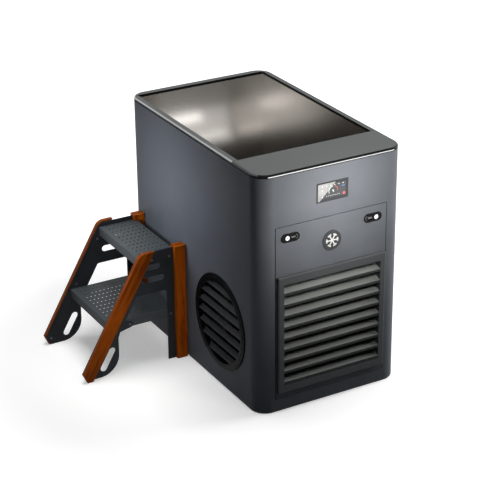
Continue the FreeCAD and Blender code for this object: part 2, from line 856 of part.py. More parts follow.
def fan():
    """The fan's shroud with its spider, the motor in the spider's cup and the rotor."""
    plate_x = (vent_back_x, vent_back_x + shroud_sheet)
    plate_y = (vent_y - shroud_side / 2, vent_y + shroud_side / 2)
    plate_z = (vent_height - shroud_side / 2, vent_height + shroud_side / 2)
    tunnel_start = V(vent_back_x, vent_y, vent_height)
    tunnel_length = shroud_sheet + shroud_depth
    shroud = box(plate_x, plate_y, plate_z)
    shroud = shroud.fuse(rod(tunnel_start, ALONG_X, shroud_radius + shroud_wall, tunnel_length))
    bore_start = tunnel_start - ALONG_X * overrun
    shroud = shroud.cut(rod(bore_start, ALONG_X, shroud_radius, tunnel_length + 2 * overrun))
    cup_radius = motor_radius + slip_gap
    arms_x = (shroud_back_x, shroud_back_x + spider_thickness)
    cup_start = V(shroud_back_x, vent_y, vent_height)
    spider = [rod(cup_start, ALONG_X, cup_radius + motor_cup_wall, motor_cup_depth)]
    for index in range(spider_arms):
        arm_y = (vent_y - spider_width / 2, vent_y + spider_width / 2)
        arm = box(arms_x, arm_y, (vent_height, vent_height + shroud_radius + shroud_wall))
        arm.rotate(V(0, vent_y, vent_height), ALONG_X, 360.0 * index / spider_arms)
        spider.append(arm)
    shroud = shroud.multiFuse(spider)
    cup_bore = cup_start - ALONG_X * overrun
    shroud = shroud.cut(rod(cup_bore, ALONG_X, cup_radius, motor_cup_depth + 2 * overrun))

    motor = rod(cup_start, ALONG_X, motor_radius, motor_length)
    shaft_bore = fan_shaft_radius + running_gap
    motor = motor.cut(rod(cup_start, ALONG_X, shaft_bore, fan_shaft_depth))

    hub_start = vent_back_x + fan_hub_setback
    hub_end = hub_start + fan_hub_length
    rotor = rod(V(hub_start, vent_y, vent_height), ALONG_X, fan_hub_radius, fan_hub_length)
    shaft_end = shroud_back_x + fan_shaft_depth - slip_gap
    pieces = [rod(V(hub_end, vent_y, vent_height), ALONG_X, fan_shaft_radius, shaft_end - hub_end)]
    tip_radius = shroud_radius - fan_tip_gap
    hub_middle = (hub_start + hub_end) / 2
    sheet_x = (hub_middle - fan_blade_sheet / 2, hub_middle + fan_blade_sheet / 2)
    chord_y = (vent_y - fan_blade_chord / 2, vent_y + fan_blade_chord / 2)
    tip_cut = rod(V(hub_start, vent_y, vent_height), ALONG_X, tip_radius, fan_hub_length)
    for index in range(fan_blade_count):
        blade = box(sheet_x, chord_y, (vent_height + fan_hub_radius / 2, vent_height + tip_radius))
        blade.rotate(V(hub_middle, vent_y, 0), ALONG_Z, fan_blade_pitch_deg)
        blade = blade.common(tip_cut)
        blade.rotate(V(0, vent_y, vent_height), ALONG_X, 360.0 * index / fan_blade_count)
        pieces.append(blade)
    return {
        "fan_shroud": shroud.removeSplitter(),
        "fan_motor": motor,
        "fan_rotor": rotor.multiFuse(pieces).removeSplitter(),
    }


def chiller():
    """The condenser, the compressor, the heat exchanger and the refrigerant lines between them."""
    core_y = (condenser_front, condenser_back)
    core = box(span(condenser_half), core_y, (base_thickness + condenser_rise, condenser_top))
    ends = []
    for side in (-1, 1):
        limits = sorted((side * condenser_half, side * (condenser_half + condenser_end_sheet)))
        ends.append(box(limits, core_y, (base_thickness, condenser_top)))
    foot_z = base_thickness + compressor_body_rise
    can_top = foot_z + compressor_body_height
    can = rod(V(compressor_x, compressor_y, foot_z), ALONG_Z, compressor_radius, compressor_body_height)
    dome_base = V(compressor_x, compressor_y, can_top)
    dome = Part.makeCone(compressor_radius, compressor_radius / 2, compressor_dome_height, dome_base)
    spread = span(compressor_foot_spread)
    foot_plate = box(
        (compressor_x + spread[0], compressor_x + spread[1]),
        (compressor_y + spread[0], compressor_y + spread[1]),
        (foot_z - compressor_foot_sheet, foot_z),
    )
    corner = compressor_foot_spread - compressor_foot_radius
    feet = [can, dome]
    for x in span(corner):
        for y in span(corner):
            start = V(compressor_x + x, compressor_y + y, base_thickness)
            feet.append(rod(start, ALONG_Z, compressor_foot_radius, foot_z - base_thickness))

    shell_start = V(exchanger_x, exchanger_front, water_axis_height)
    shell = rod(shell_start, ALONG_Y, exchanger_radius, exchanger_length)
    nozzle = rod(V(exchanger_x, exchanger_back, water_axis_height), ALONG_Y, hose_radius, pump_nozzle_length)
    outlet_length = exchanger_radius + exchanger_outlet_length
    outlet = rod(V(exchanger_x, exchanger_outlet_y, water_axis_height), ALONG_Z, hose_radius, outlet_length)
    saddles = [nozzle, outlet]
    saddle_x = (exchanger_x - exchanger_saddle_width / 2, exchanger_x + exchanger_saddle_width / 2)
    rear_saddle = exchanger_back - exchanger_saddle_inset - exchanger_saddle_length
    for start in (exchanger_front + exchanger_saddle_inset, rear_saddle):
        saddle_y = (start, start + exchanger_saddle_length)
        saddles.append(box(saddle_x, saddle_y, (base_thickness, water_axis_height)))

    discharge_z = compressor_top + discharge_rise
    suction_z = water_axis_height - suction_drop
    suction_x = exchanger_x - suction_offset
    liquid_z = water_axis_height + liquid_offset
    discharge = [
        (compressor_x, compressor_y, compressor_top),
        (compressor_x, compressor_y, discharge_z),
        (compressor_x, condenser_back, discharge_z),
    ]
    lead_y = exchanger_front - suction_lead
    over_z = compressor_top + suction_rise
    port_x = compressor_x + suction_port_offset
    suction = [
        (suction_x, exchanger_front, suction_z),
        (suction_x, lead_y, suction_z),
        (suction_x, lead_y, over_z),
        (port_x, lead_y, over_z),
        (port_x, compressor_y, over_z),
        (port_x, compressor_y, compressor_top),
    ]
    liquid_start = V(exchanger_x, condenser_back, liquid_z)
    lines = [
        bent_rod(discharge, line_radius, line_bend),
        bent_rod(suction, line_radius, line_bend),
        rod(liquid_start, ALONG_Y, line_radius, exchanger_front - condenser_back),
    ]
    return {
        "condenser_core": core.multiFuse(ends).removeSplitter(),
        "compressor": foot_plate.multiFuse(feet).removeSplitter(),
        "heat_exchanger": shell.multiFuse(saddles).removeSplitter(),
        "refrigerant_lines": Part.makeCompound(lines),
    }


def water_circuit():
    """The circulation pump, the filter and the hoses that join them to the basin."""
    volute_start = V(pump_x, pump_back - pump_volute_length, water_axis_height)
    volute = rod(volute_start, ALONG_Y, pump_volute_radius, pump_volute_length)
    motor_start = V(pump_x, volute_start.y - pump_motor_length, water_axis_height)
    outlet_top = water_axis_height + pump_volute_radius + pump_outlet_length
    foot_x = (pump_x - pump_foot_width / 2, pump_x + pump_foot_width / 2)
    outlet_start = V(pump_x, pump_outlet_y, water_axis_height)
    pump_parts = [
        rod(motor_start, ALONG_Y, pump_motor_radius, pump_motor_length),
        rod(V(pump_x, pump_back, water_axis_height), ALONG_Y, hose_radius, pump_nozzle_length),
        rod(outlet_start, ALONG_Z, hose_radius, outlet_top - water_axis_height),
        box(foot_x, (motor_start.y, pump_back), (base_thickness, water_axis_height)),
    ]
    bowl = rod(V(filter_x, filter_y, filter_bottom), ALONG_Z, filter_bowl_radius, filter_bowl_height)
    bowl_edges = edges_in_plane(bowl, ALONG_Z, filter_bottom)
    head_x = (filter_x - filter_head_half, filter_x + filter_head_half)
    head_y = (filter_y - filter_head_front, basin_front - basin_wall)
    head_top = filter_head_bottom + filter_head_height
    port_z = filter_head_bottom + filter_head_height / 2

    pump_to_filter = [
        (pump_x, pump_outlet_y, outlet_top),
        (pump_x, pump_outlet_y, hose_run_z),
        (pump_x, hose_riser_y, hose_run_z),
        (pump_x, hose_riser_y, port_z),
        (head_x[0], hose_riser_y, port_z),
    ]
    exchanger_top = water_axis_height + exchanger_radius + exchanger_outlet_length
    filter_to_exchanger = [
        (filter_x, hose_riser_y, filter_head_bottom),
        (filter_x, hose_riser_y, hose_run_z),
        (filter_x, exchanger_outlet_y, hose_run_z),
        (filter_x, exchanger_outlet_y, exchanger_top),
    ]
    hoses = [hose(pump_to_filter, hose_radius), hose(filter_to_exchanger, hose_radius)]
    for x in (pump_x, exchanger_x):
        ends = [(x, coupling_y, water_axis_height), (x, hose_start_y, water_axis_height)]
        hoses.append(hose(ends, hose_radius))
    drain_ends = [(drain_x, valve_back_y, drain_height), (drain_x, hose_start_y, drain_height)]
    hoses.append(hose(drain_ends, drain_hose_radius))
    return {
        "circulation_pump": volute.multiFuse(pump_parts).removeSplitter(),
        "filter_head": box(head_x, head_y, (filter_head_bottom, head_top)),
        "filter_bowl": bowl.makeFillet(filter_bowl_round, bowl_edges),
        "water_hoses": Part.makeCompound(hoses),
    }


def drain():
    """The drain valve with its spigot through the right side, and its lever."""
    body = rod(V(drain_x, valve_front_y, drain_height), ALONG_Y, valve_radius, valve_length)
    neck_start = V(drain_x, lever_y, drain_height)
    elbow_run = valve_front_y - valve_elbow_y
    pieces = [
        rod(neck_start, ALONG_Z, valve_neck_radius, valve_radius + valve_neck_height),
        rod(V(drain_x, valve_elbow_y, drain_height), ALONG_Y, drain_hose_radius, elbow_run),
        Part.makeSphere(drain_hose_radius, V(drain_x, valve_elbow_y, drain_height)),
    ]
    spigot_start = V(drain_x, valve_elbow_y, drain_height)
    spigot_length = half_width + valve_spigot_raise - drain_x
    pieces.append(rod(spigot_start, ALONG_X, drain_hose_radius, spigot_length))
    lever_z_limits = (lever_z, lever_z + lever_thickness)
    lever = rod(V(drain_x, lever_y, lever_z), ALONG_Z, lever_hub_radius, lever_thickness)
    lever_x = (drain_x - lever_width / 2, drain_x + lever_width / 2)
    lever = lever.fuse(box(lever_x, (lever_y - lever_length, lever_y), lever_z_limits))
    return {"drain_valve": body.multiFuse(pieces).removeSplitter(), "drain_lever": lever.removeSplitter()}


def inlet_block(inset, x):
    """The power inlet's rectangle, moved inwards by an inset, between two limits along X."""
    centre_y = front + inlet_setback
    half = inlet_width / 2 - inset
    tall = inlet_tall / 2 - inset
    return box(x, (centre_y - half, centre_y + half), (inlet_height - tall, inlet_height + tall))


def electrics():
    """The control box on the basin's front wall and the power inlet in the right side."""
    wall_y = basin_front - basin_wall
    box_x = (control_x - control_width / 2, control_x + control_width / 2)
    bottom = seat_height + control_rise
    box_z = (bottom, bottom + control_height)
    margin = control_lid_margin
    lid_x = (box_x[0] - margin, box_x[1] + margin)
    lid_z = (box_z[0] - margin, box_z[1] + margin)
    box_y = (wall_y - control_depth, wall_y)
    lid = box(lid_x, (box_y[0] - control_lid, box_y[0]), lid_z)
    inlet = inlet_block(0, (half_width, half_width + inlet_raise))
    inlet = inlet.fuse(inlet_block(inlet_lip, (half_width - inlet_depth, half_width)))
    return {
        "control_box": box(box_x, box_y, box_z).fuse(lid).removeSplitter(),
        "power_inlet": inlet.removeSplitter(),
    }


def rail_rear(z):
    """How far the sloping rail's rear edge stands from the stool's rear, at a height."""
    return rail_foot - z / slope


def rail_front(z):
    """How far the sloping rail's front edge stands from the stool's rear, at a height."""
    return rail_rear(z) + rail_width / slant


def rail_middle(z):
    """How far the sloping rail's centre line stands from the stool's rear, at a height."""
    return rail_rear(z) + rail_width / slant / 2


def plate_front(z):
    """How far the side plate's sloping front edge stands from the stool's rear, at a height."""
    return rail_front(z) - plate_front_inset / slant


def leg_rear(z):
    """How far the rear edge of the plate's sloping leg stands from the stool's rear, at a height."""
    return rail_rear(z) - leg_margin / slant


def side_plate(y):
    """A laser-cut side plate with its arch, heel, tab and hand slots, between two limits along Y."""
    def place(depth, z):
        return V(stool_rear - depth, y[0], z)

    heel_centre = heel_reach + heel_radius
    rear_leg_front = plate_rear_inset + rear_leg_width
    tab_z = lower_tread_height - tread_bolt_drop
    tab_root = tab_z + tab_root_height
    half_turn = heel_radius * math.sqrt(0.5)
    heel_arc = Part.Arc(
        place(heel_centre, 0),
        place(heel_centre - half_turn, heel_radius - half_turn),
        place(heel_reach, heel_radius),
    )
    arch_front = place(leg_rear(arch_height), arch_height)
    arch_rear = place(rear_leg_front, arch_height)
    top_front = place(plate_front(plate_height), plate_height)
    corners = [
        place(heel_reach, heel_radius),
        place(heel_reach, heel_height),
        place(heel_reach - heel_slope_depth, heel_height + heel_slope_height),
        place(tab_bolt_depth, tab_z - tab_radius),
        place(tab_bolt_depth, tab_z + tab_radius),
        place(leg_rear(tab_root), tab_root),
        arch_front,
        arch_rear,
        place(rear_leg_front, 0),
        place(plate_rear_inset, 0),
        place(plate_rear_inset, plate_height),
        top_front,
        place(plate_front(toe_height), toe_height),
        place(plate_front(toe_height) - toe_cut, 0),
        place(heel_centre, 0),
    ]
    edges = [heel_arc.toShape()]
    for start, end in zip(corners, corners[1:]):
        edges.append(Part.LineSegment(start, end).toShape())
    thickness = V(0, y[1] - y[0], 0)
    plate = Part.Face(Part.Wire(edges)).extrude(thickness)
    plate = plate.makeFillet(plate_round, edges_along_y(plate, [(top_front.x, plate_height)]))
    arch_corners = [(arch_front.x, arch_height), (arch_rear.x, arch_height)]
    plate = plate.makeFillet(arch_round, edges_along_y(plate, arch_corners))
    plate = plate.fuse(rod(place(tab_bolt_depth, tab_z), ALONG_Y, tab_radius, thickness.y))

    through = (y[0] - overrun, y[1] + overrun)
    cuts = []
    for rear, length, height in (
        (upper_slot_rear, upper_slot_length, upper_tread_height - upper_slot_drop),
        (lower_slot_rear, lower_slot_length, upper_tread_height - lower_slot_drop),
    ):
        cuts.append(stadium_xz(stool_rear - rear - length / 2, height, length, slot_width, through))
    heel_slot_x = stool_rear - heel_slot_depth
    heel_slot = stadium_xz(heel_slot_x, heel_slot_height, heel_slot_length, heel_slot_width, through)
    heel_slot.rotate(V(heel_slot_x, 0, heel_slot_height), ALONG_Y, -rail_angle_deg)
    cuts.append(heel_slot)
    return plate.cut(Part.makeCompound(cuts)).removeSplitter()


def front_rail(y):
    """A sloping wooden rail with a rounded top, between two limits along Y."""
    top_front = (stool_rear - rail_front(post_height), post_height)
    outline = [
        (stool_rear - rail_front(toe_height) + toe_cut, 0),
        (stool_rear - rail_foot, 0),
        (stool_rear - rail_rear(post_height), post_height),
        top_front,
        (stool_rear - rail_front(toe_height), toe_height),
    ]
    rail = plate_xz(outline, y)
    return rail.makeFillet(rail_round, edges_along_y(rail, [top_front]))


def tread(height, rear, depth):
    """A perforated tread: a folded tray open below, notched round the rear posts."""
    x = (stool_rear - rear - depth, stool_rear - rear)
    z = (height - tread_flange, height)
    tray = box(x, (near_inner, far_inner), z)
    inside_y = (near_inner + tread_sheet, far_inner - tread_sheet)
    tray = tray.cut(box((x[0] + tread_sheet, x[1] - tread_sheet), inside_y, (z[0], height - tread_sheet)))
    cuts = []
    columns = int((depth - tread_hole_front - tread_hole_rear) / tread_hole_pitch_depth) + 1
    rows = int((stool_inner_width - 2 * tread_hole_side) / tread_hole_pitch_width) + 1
    first_row = stool_centre_y - tread_hole_pitch_width * (rows - 1) / 2
    drill_length = tread_sheet + 2 * overrun
    for column in range(columns):
        for row in range(rows):
            hole_x = x[0] + tread_hole_front + column * tread_hole_pitch_depth
            hole_y = first_row + row * tread_hole_pitch_width
            start = V(hole_x, hole_y, height - tread_sheet - overrun)
            cuts.append(rod(start, ALONG_Z, tread_hole_radius, drill_length))
    notch_x = (stool_rear - post_width - bolt_head_height, stool_rear)
    notch = stool_wood + bolt_head_height
    for notch_y in ((near_inner, near_inner + notch), (far_inner - notch, far_inner)):
        cuts.append(box(notch_x, notch_y, (z[0] - overrun, height + overrun)))
    return tray.cut(Part.makeCompound(cuts))


def stool_bolt(depth, z, face_y, way, length):
    """A bolt with its head on a face and its shank running into the stool, and the drill for its hole."""
    along = ALONG_Y * way
    seat = V(stool_rear - depth, face_y, z)
    head = rod(seat - along * bolt_head_height, along, bolt_head_radius, bolt_head_height)
    bolt = head.fuse(rod(seat, along, bolt_radius, length)).removeSplitter()
    return bolt, rod(seat, along, bolt_radius + bolt_gap, length)


def stool():
    """The step stool: side plates, treads, rails, posts and bolts."""
    near_strips = ((near_outer - stool_wood, near_outer), (near_inner, near_inner + stool_wood))
    far_strips = ((far_outer, far_outer + stool_wood), (far_inner - stool_wood, far_inner))
    sides = {
        "near": ((near_outer, near_inner), near_strips),
        "far": ((far_inner, far_outer), far_strips),
    }
    post_x = (stool_rear - post_width, stool_rear)
    pieces = {
        "step_tread_upper": tread(upper_tread_height, upper_tread_rear, upper_tread_depth),
        "step_tread_lower": tread(lower_tread_height, lower_tread_rear, lower_tread_depth),
    }
    for name, (plate_y, strips_y) in sides.items():
        strips = [box(post_x, strip_y, (0, post_height)) for strip_y in strips_y]
        pieces["step_side_" + name] = side_plate(plate_y)
        pieces["step_rail_" + name] = front_rail(strips_y[0])
        pieces["step_post_" + name] = Part.makeCompound(strips)

    upper_z = upper_tread_height - upper_bolt_drop
    lower_z = lower_tread_height - tread_bolt_drop
    tread_places = [
        (tread_bolt_rear, upper_z),
        (upper_bolt_front, upper_z),
        (tread_bolt_rear, lower_z),
        (tab_bolt_depth, lower_z),
    ]
    rail_heights = (
        rail_bolt_toe_height,
        lower_tread_height + rail_bolt_lower_rise,
        upper_tread_height - rail_bolt_upper_drop,
    )
    post_heights = (post_bolt_bottom, post_height - post_bolt_drop)
    tread_grip = stool_plate + tread_sheet + bolt_end
    wood_grip = stool_plate + wood_bolt_bite
    bolts = []
    for outer_face, inner_face, way in ((near_outer, near_inner, 1), (far_outer, far_inner, -1)):
        for depth, z in tread_places:
            bolts.append(stool_bolt(depth, z, outer_face, way, tread_grip))
        for z in rail_heights:
            bolts.append(stool_bolt(rail_middle(z), z, inner_face, -way, wood_grip))
        for z in post_heights:
            strip_face = inner_face + way * stool_wood
            bolts.append(stool_bolt(post_width / 2, z, strip_face, -way, stool_wood + wood_grip))
    drills = Part.makeCompound([drill for bolt, drill in bolts])
    pieces = {name: shape.cut(drills) for name, shape in pieces.items()}
    pieces["step_bolts"] = Part.makeCompound([bolt for bolt, drill in bolts])
    return pieces


os.makedirs("parts", exist_ok=True)
sub_assemblies = (
    tub_shell, rim_ring, basin, hidden_structure, display, service_door, grille, badge,
    latches, vent, fan, chiller, water_circuit, drain, electrics, stool,
)
for build in sub_assemblies:
    for node, shape in build().items():
        shape.exportStep("parts/" + node + ".step")
        print(node, len(shape.Solids), "solids, valid", shape.isValid(), "volume", round(shape.Volume))
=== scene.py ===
"""Looks of a cold plunge tub with a built-in chiller and its two-step stool.

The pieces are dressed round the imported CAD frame. Sizes are in millimetres in the tub's own frame: the
front faces -Y, +X runs to the right along it and +Z is up. Each mesh is drafted in millimetres and brought
to metres when it is finished.
"""
import logging
import math
from collections.abc import Callable, Iterable, Sequence
from dataclasses import dataclass, replace
from enum import Enum

import bmesh
import bpy
from bmesh.types import BMEdge, BMFace, BMVert
from mathutils import Matrix, Vector


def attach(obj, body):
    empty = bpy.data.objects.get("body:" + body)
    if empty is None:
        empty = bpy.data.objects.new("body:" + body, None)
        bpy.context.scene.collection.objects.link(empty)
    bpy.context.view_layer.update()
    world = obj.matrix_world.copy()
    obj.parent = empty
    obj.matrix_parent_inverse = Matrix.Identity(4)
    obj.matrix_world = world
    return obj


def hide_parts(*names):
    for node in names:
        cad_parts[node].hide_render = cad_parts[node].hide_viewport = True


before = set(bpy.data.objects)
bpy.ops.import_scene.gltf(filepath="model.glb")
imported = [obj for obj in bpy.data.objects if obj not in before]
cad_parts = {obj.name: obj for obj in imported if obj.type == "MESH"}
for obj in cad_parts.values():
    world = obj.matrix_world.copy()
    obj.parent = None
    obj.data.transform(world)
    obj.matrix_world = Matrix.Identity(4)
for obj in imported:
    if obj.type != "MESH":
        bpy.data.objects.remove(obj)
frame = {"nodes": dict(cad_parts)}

Point = tuple[float, float, float]
Spot = tuple[float, float]
Outline = list[Spot]
Colour = tuple[float, float, float]
Socket = bpy.types.NodeSocket
Sockets = tuple[Socket, Socket, Socket]
PairTest = Callable[[Vector, Vector], bool]

MM = 0.001
UNIT_SPAN: Spot = (0.0, 1.0)
NOISE_SPAN: Spot = (0.3, 0.7)
SHARP_ANGLE = math.radians(32)
PARALLEL = 0.99
# Gaps in millimetres, besides the last, which is for the CAD's own meshes and in metres
WELD_GAP = 0.001
LEVEL_GAP = 0.01
CUT_GAP = 0.0001
NODE_WELD_GAP = 0.00001
# Sizes in millimetres that several sub-assemblies share
HALF_WIDTH = 339.0
HALF_LENGTH = 558.5
FRONT = -HALF_LENGTH
CORNER = 68.0
CORNER_FACETS = 16
DISPLAY_HEIGHT = 927.5
VENT_CENTRE: Spot = (-242.0, 296.0)
LATCH_X = 193.0
LATCH_Z = 770.0
log = logging.getLogger("plunge_tub")


class Body(Enum):
    """The CAD bodies that pieces ride on."""

    TUB = "tub"
    DOOR = "service_door"
    LOCK_LEFT = "latch_lock_left"
    LOCK_RIGHT = "latch_lock_right"
    FAN = "fan_rotor"
    LEVER = "drain_lever"
    STOOL = "step_stool"


class Plane(Enum):
    """The plane an outline is drawn in, valued by the axis that its levels grow along."""

    SIDE = 0
    FRONT = 1
    TOP = 2

    def point(self, across: float, along: float, level: float) -> Vector:
        """Returns the point of an outline spot at a level."""
        values = [across, along]
        values.insert(self.value, level)
        return Vector(values)

    @property
    def normal(self) -> Vector:
        """Returns the direction that levels grow along."""
        return Vector([float(axis == self.value) for axis in range(3)])


class Side(Enum):
    """The left and right hand of the tub, valued by the sign of X."""

    LEFT = -1
    RIGHT = 1


# Outlines

def rectangle(half_across: float, low: float, high: float, centre: float = 0.0) -> Outline:
    """Returns an upright rectangle about a centre line."""
    left, right = centre - half_across, centre + half_across
    return [(left, low), (right, low), (right, high), (left, high)]


def rectangle_about(centre: Spot, half: Spot) -> Outline:
    """Returns an upright rectangle about a spot."""
    return rectangle(half[0], centre[1] - half[1], centre[1] + half[1], centre[0])


def spot_row(first: Spot, pitch: float, count: int) -> list[Spot]:
    """Returns spots at a pitch across from a first one."""
    return [(first[0] + pitch * index, first[1]) for index in range(count)]


def circle(centre: Spot, radius: float, steps: int = 32) -> Outline:
    """Returns a circle as a polygon."""
    turns = [math.tau * step / steps for step in range(steps)]
    return [(centre[0] + radius * math.cos(turn), centre[1] + radius * math.sin(turn)) for turn in turns]


def arc(centre: Spot, radius: float, start: float, end: float, steps: int = 8) -> Outline:
    """Draws an arc.

    Args:
        centre: The arc's centre.
        radius: The arc's radius.
        start: The first angle in degrees.
        end: The last angle in degrees.
        steps: The number of chords.

    Returns:
        The spots along the arc.
    """
    angles = [math.radians(start + (end - start) * step / steps) for step in range(steps + 1)]
    return [(centre[0] + radius * math.cos(angle), centre[1] + radius * math.sin(angle)) for angle in angles]


def ring_part(centre: Spot, radii: Spot, span: Spot, steps: int) -> Outline:
    """Draws a stretch of a flat ring.

    Args:
        centre: The ring's centre.
        radii: Its outer and inner radius.
        span: The first and last angle in degrees.
        steps: The number of chords of each arc.

    Returns:
        The stretch's outline.
    """
    start, end = span
    return arc(centre, radii[0], start, end, steps) + arc(centre, radii[1], end, start, steps)


def stadium(centre: Spot, length: float, width: float, tilt: float = 0.0, steps: int = 10) -> Outline:
    """Draws an oval with straight sides.

    Args:
        centre: The oval's centre.
        length: The length over the round ends.
        width: The width between the straight sides.
        tilt: The turn of the long axis in degrees.
        steps: The number of chords of each round end.

    Returns:
        The oval's outline.
    """
    reach = (length - width) / 2
    way = Vector((math.cos(math.radians(tilt)), math.sin(math.radians(tilt)))) * reach
    first = arc((centre[0] + way.x, centre[1] + way.y), width / 2, tilt - 90, tilt + 90, steps)
    second = arc((centre[0] - way.x, centre[1] - way.y), width / 2, tilt + 90, tilt + 270, steps)
    return first + second


def rounded_corner(before: Spot, corner: Spot, after: Spot, radius: float, steps: int = 8) -> Outline:
    """Rounds one corner of an outline.

    Args:
        before: The spot before the corner.
        corner: The corner itself.
        after: The spot after the corner.
        radius: The radius of the round.
        steps: The number of chords.

    Returns:
        The spots of the round, from the side of the first spot to that of the last.
    """
    tip = Vector(corner)
    back = (Vector(before) - tip).normalized()
    onward = (Vector(after) - tip).normalized()
    half_angle = back.angle(onward) / 2
    centre = tip + (back + onward).normalized() * (radius / math.sin(half_angle))
    reach = radius / math.tan(half_angle)
    start = (tip + back * reach) - centre
    turn = start.angle_signed((tip + onward * reach) - centre)
    spots = [centre + Matrix.Rotation(-turn * step / steps, 2) @ start for step in range(steps + 1)]
    return [(spot.x, spot.y) for spot in spots]


# Shader graphs and shared effects

class Graph:
    """A shader node tree that is being wired."""

    def __init__(self, tree: bpy.types.NodeTree) -> None:
        """Takes over a tree and empties it."""
        self.tree = tree
        self.tree.nodes.clear()

    def add(self, kind: str, inputs: dict[str | int, object] | None = None,
            **settings: object) -> bpy.types.Node:
        """Adds a node.

        Args:
            kind: The node's type.
            inputs: The value of each input socket, or the output socket that feeds it.
            settings: The node's own properties.

        Returns:
            The new node.
        """
        node = self.tree.nodes.new(kind)
        for name, value in settings.items():
            setattr(node, name, value)
        for key, value in (inputs or {}).items():
            if isinstance(value, Socket):
                self.tree.links.new(value, node.inputs[key])
            else:
                node.inputs[key].default_value = value
        return node

    def object_place(self) -> Socket:
        """Returns the Object coordinates of the shaded piece."""
        return self.add("ShaderNodeTexCoord").outputs["Object"]

    def noise(self, place: Socket, scale: float | Socket, detail: float) -> Socket:
        """Returns a noise field between 0 and 1."""
        return self.add("ShaderNodeTexNoise", {"Vector": place, "Scale": scale, "Detail": detail}).outputs[0]

    def calc(self, operation: str, *values: float | Socket) -> Socket:
        """Returns the result of a calculation."""
        return self.add("ShaderNodeMath", dict(enumerate(values)), operation=operation).outputs[0]

    def spread(self, value: Socket, source: Spot, target: Spot = UNIT_SPAN) -> Socket:
        """Returns a value stretched from one span to another."""
        limits = {"From Min": source[0], "From Max": source[1], "To Min": target[0], "To Max": target[1]}
        return self.add("ShaderNodeMapRange", {"Value": value, **limits}).outputs[0]

    def blend(self, factor: Socket, low: Colour, high: Colour) -> Socket:
        """Returns a colour between two."""
        inputs = {0: factor, 6: (*low, 1.0), 7: (*high, 1.0)}
        return self.add("ShaderNodeMix", inputs, data_type="RGBA").outputs[2]


class Effect(Enum):
    """Surface effects that finishes share, valued by the name of their node group."""

    POWDER = "powder_grain"
    BRUSHED = "brushed_streaks"
    WOOD = "wood_grain"
    MOULDED = "moulded_skin"

    def group(self) -> bpy.types.NodeTree:
        """Finds or builds the effect's node group.

        Returns:
            A group with the inputs Vector and Scale and the outputs Tone, Gloss and Height.
        """
        if self.value in bpy.data.node_groups:
            return bpy.data.node_groups[self.value]
        tree = bpy.data.node_groups.new(self.value, "ShaderNodeTree")
        tree.interface.new_socket("Vector", in_out="INPUT", socket_type="NodeSocketVector")
        tree.interface.new_socket("Scale", in_out="INPUT", socket_type="NodeSocketFloat")
        for name in ("Tone", "Gloss", "Height"):
            tree.interface.new_socket(name, in_out="OUTPUT", socket_type="NodeSocketFloat")
        graph = Graph(tree)
        entry = graph.add("NodeGroupInput")
        wiring = {
            Effect.POWDER: self.wire_powder,
            Effect.BRUSHED: self.wire_brushed,
            Effect.WOOD: self.wire_wood,
            Effect.MOULDED: self.wire_moulded,
        }
        tone, gloss, height = wiring[self](graph, entry.outputs["Vector"], entry.outputs["Scale"])
        graph.add("NodeGroupOutput", {"Tone": tone, "Gloss": gloss, "Height": height})
        return tree

    @staticmethod
    def wire_powder(graph: Graph, place: Socket, scale: Socket) -> Sockets:
        """Wires the fine orange peel of powder coat over slow mottling.

        Args:
            graph: The group's graph.
            place: The pattern's coordinates.
            scale: The density of the grain.

        Returns:
            The tone, gloss and height sockets.
        """
        mottle = graph.noise(place, scale=7.0, detail=4.0)
        grain = graph.noise(place, scale, detail=3.0)
        tone = graph.spread(graph.calc("MULTIPLY", grain, mottle), (0.12, 0.40))
        return tone, graph.spread(mottle, NOISE_SPAN), grain

    @staticmethod
    def wire_brushed(graph: Graph, place: Socket, scale: Socket) -> Sockets:
        """Wires long scratches along the brushing over faint clouds.

        Args:
            graph: The group's graph.
            place: The coordinates, squeezed across the brushing.
            scale: The density of the scratches.

        Returns:
            The tone, gloss and height sockets.
        """
        scratches = graph.noise(place, scale, detail=5.0)
        clouds = graph.noise(graph.object_place(), scale=3.0, detail=2.0)
        gloss = graph.spread(graph.calc("ADD", scratches, clouds), (0.7, 1.3))
        return graph.spread(scratches, NOISE_SPAN), gloss, scratches

    @staticmethod
    def wire_wood(graph: Graph, place: Socket, scale: Socket) -> Sockets:
        """Wires growth bands with long fibres and pores.

        Args:
            graph: The group's graph.
            place: The coordinates, squeezed along the fibres.
            scale: The density of the bands.

        Returns:
            The tone, gloss and height sockets.
        """
        bands = graph.noise(place, scale, detail=2.0)
        saw = graph.calc("PINGPONG", graph.calc("MULTIPLY", bands, 5.0), 1.0)
        fibres = graph.noise(place, scale=9.0, detail=6.0)
        total = graph.calc("MULTIPLY_ADD", saw, 0.55, fibres)
        return graph.spread(total, (0.35, 0.95)), saw, fibres

    @staticmethod
    def wire_moulded(graph: Graph, place: Socket, scale: Socket) -> Sockets:
        """Wires the faint waviness and speckle of a moulded skin.

        Args:
            graph: The group's graph.
            place: The pattern's coordinates.
            scale: The density of the speckle.

        Returns:
            The tone, gloss and height sockets.
        """
        speckle = graph.noise(place, scale, detail=2.0)
        waviness = graph.noise(place, scale=18.0, detail=2.0)
        return graph.spread(speckle, NOISE_SPAN), graph.spread(waviness, NOISE_SPAN), speckle


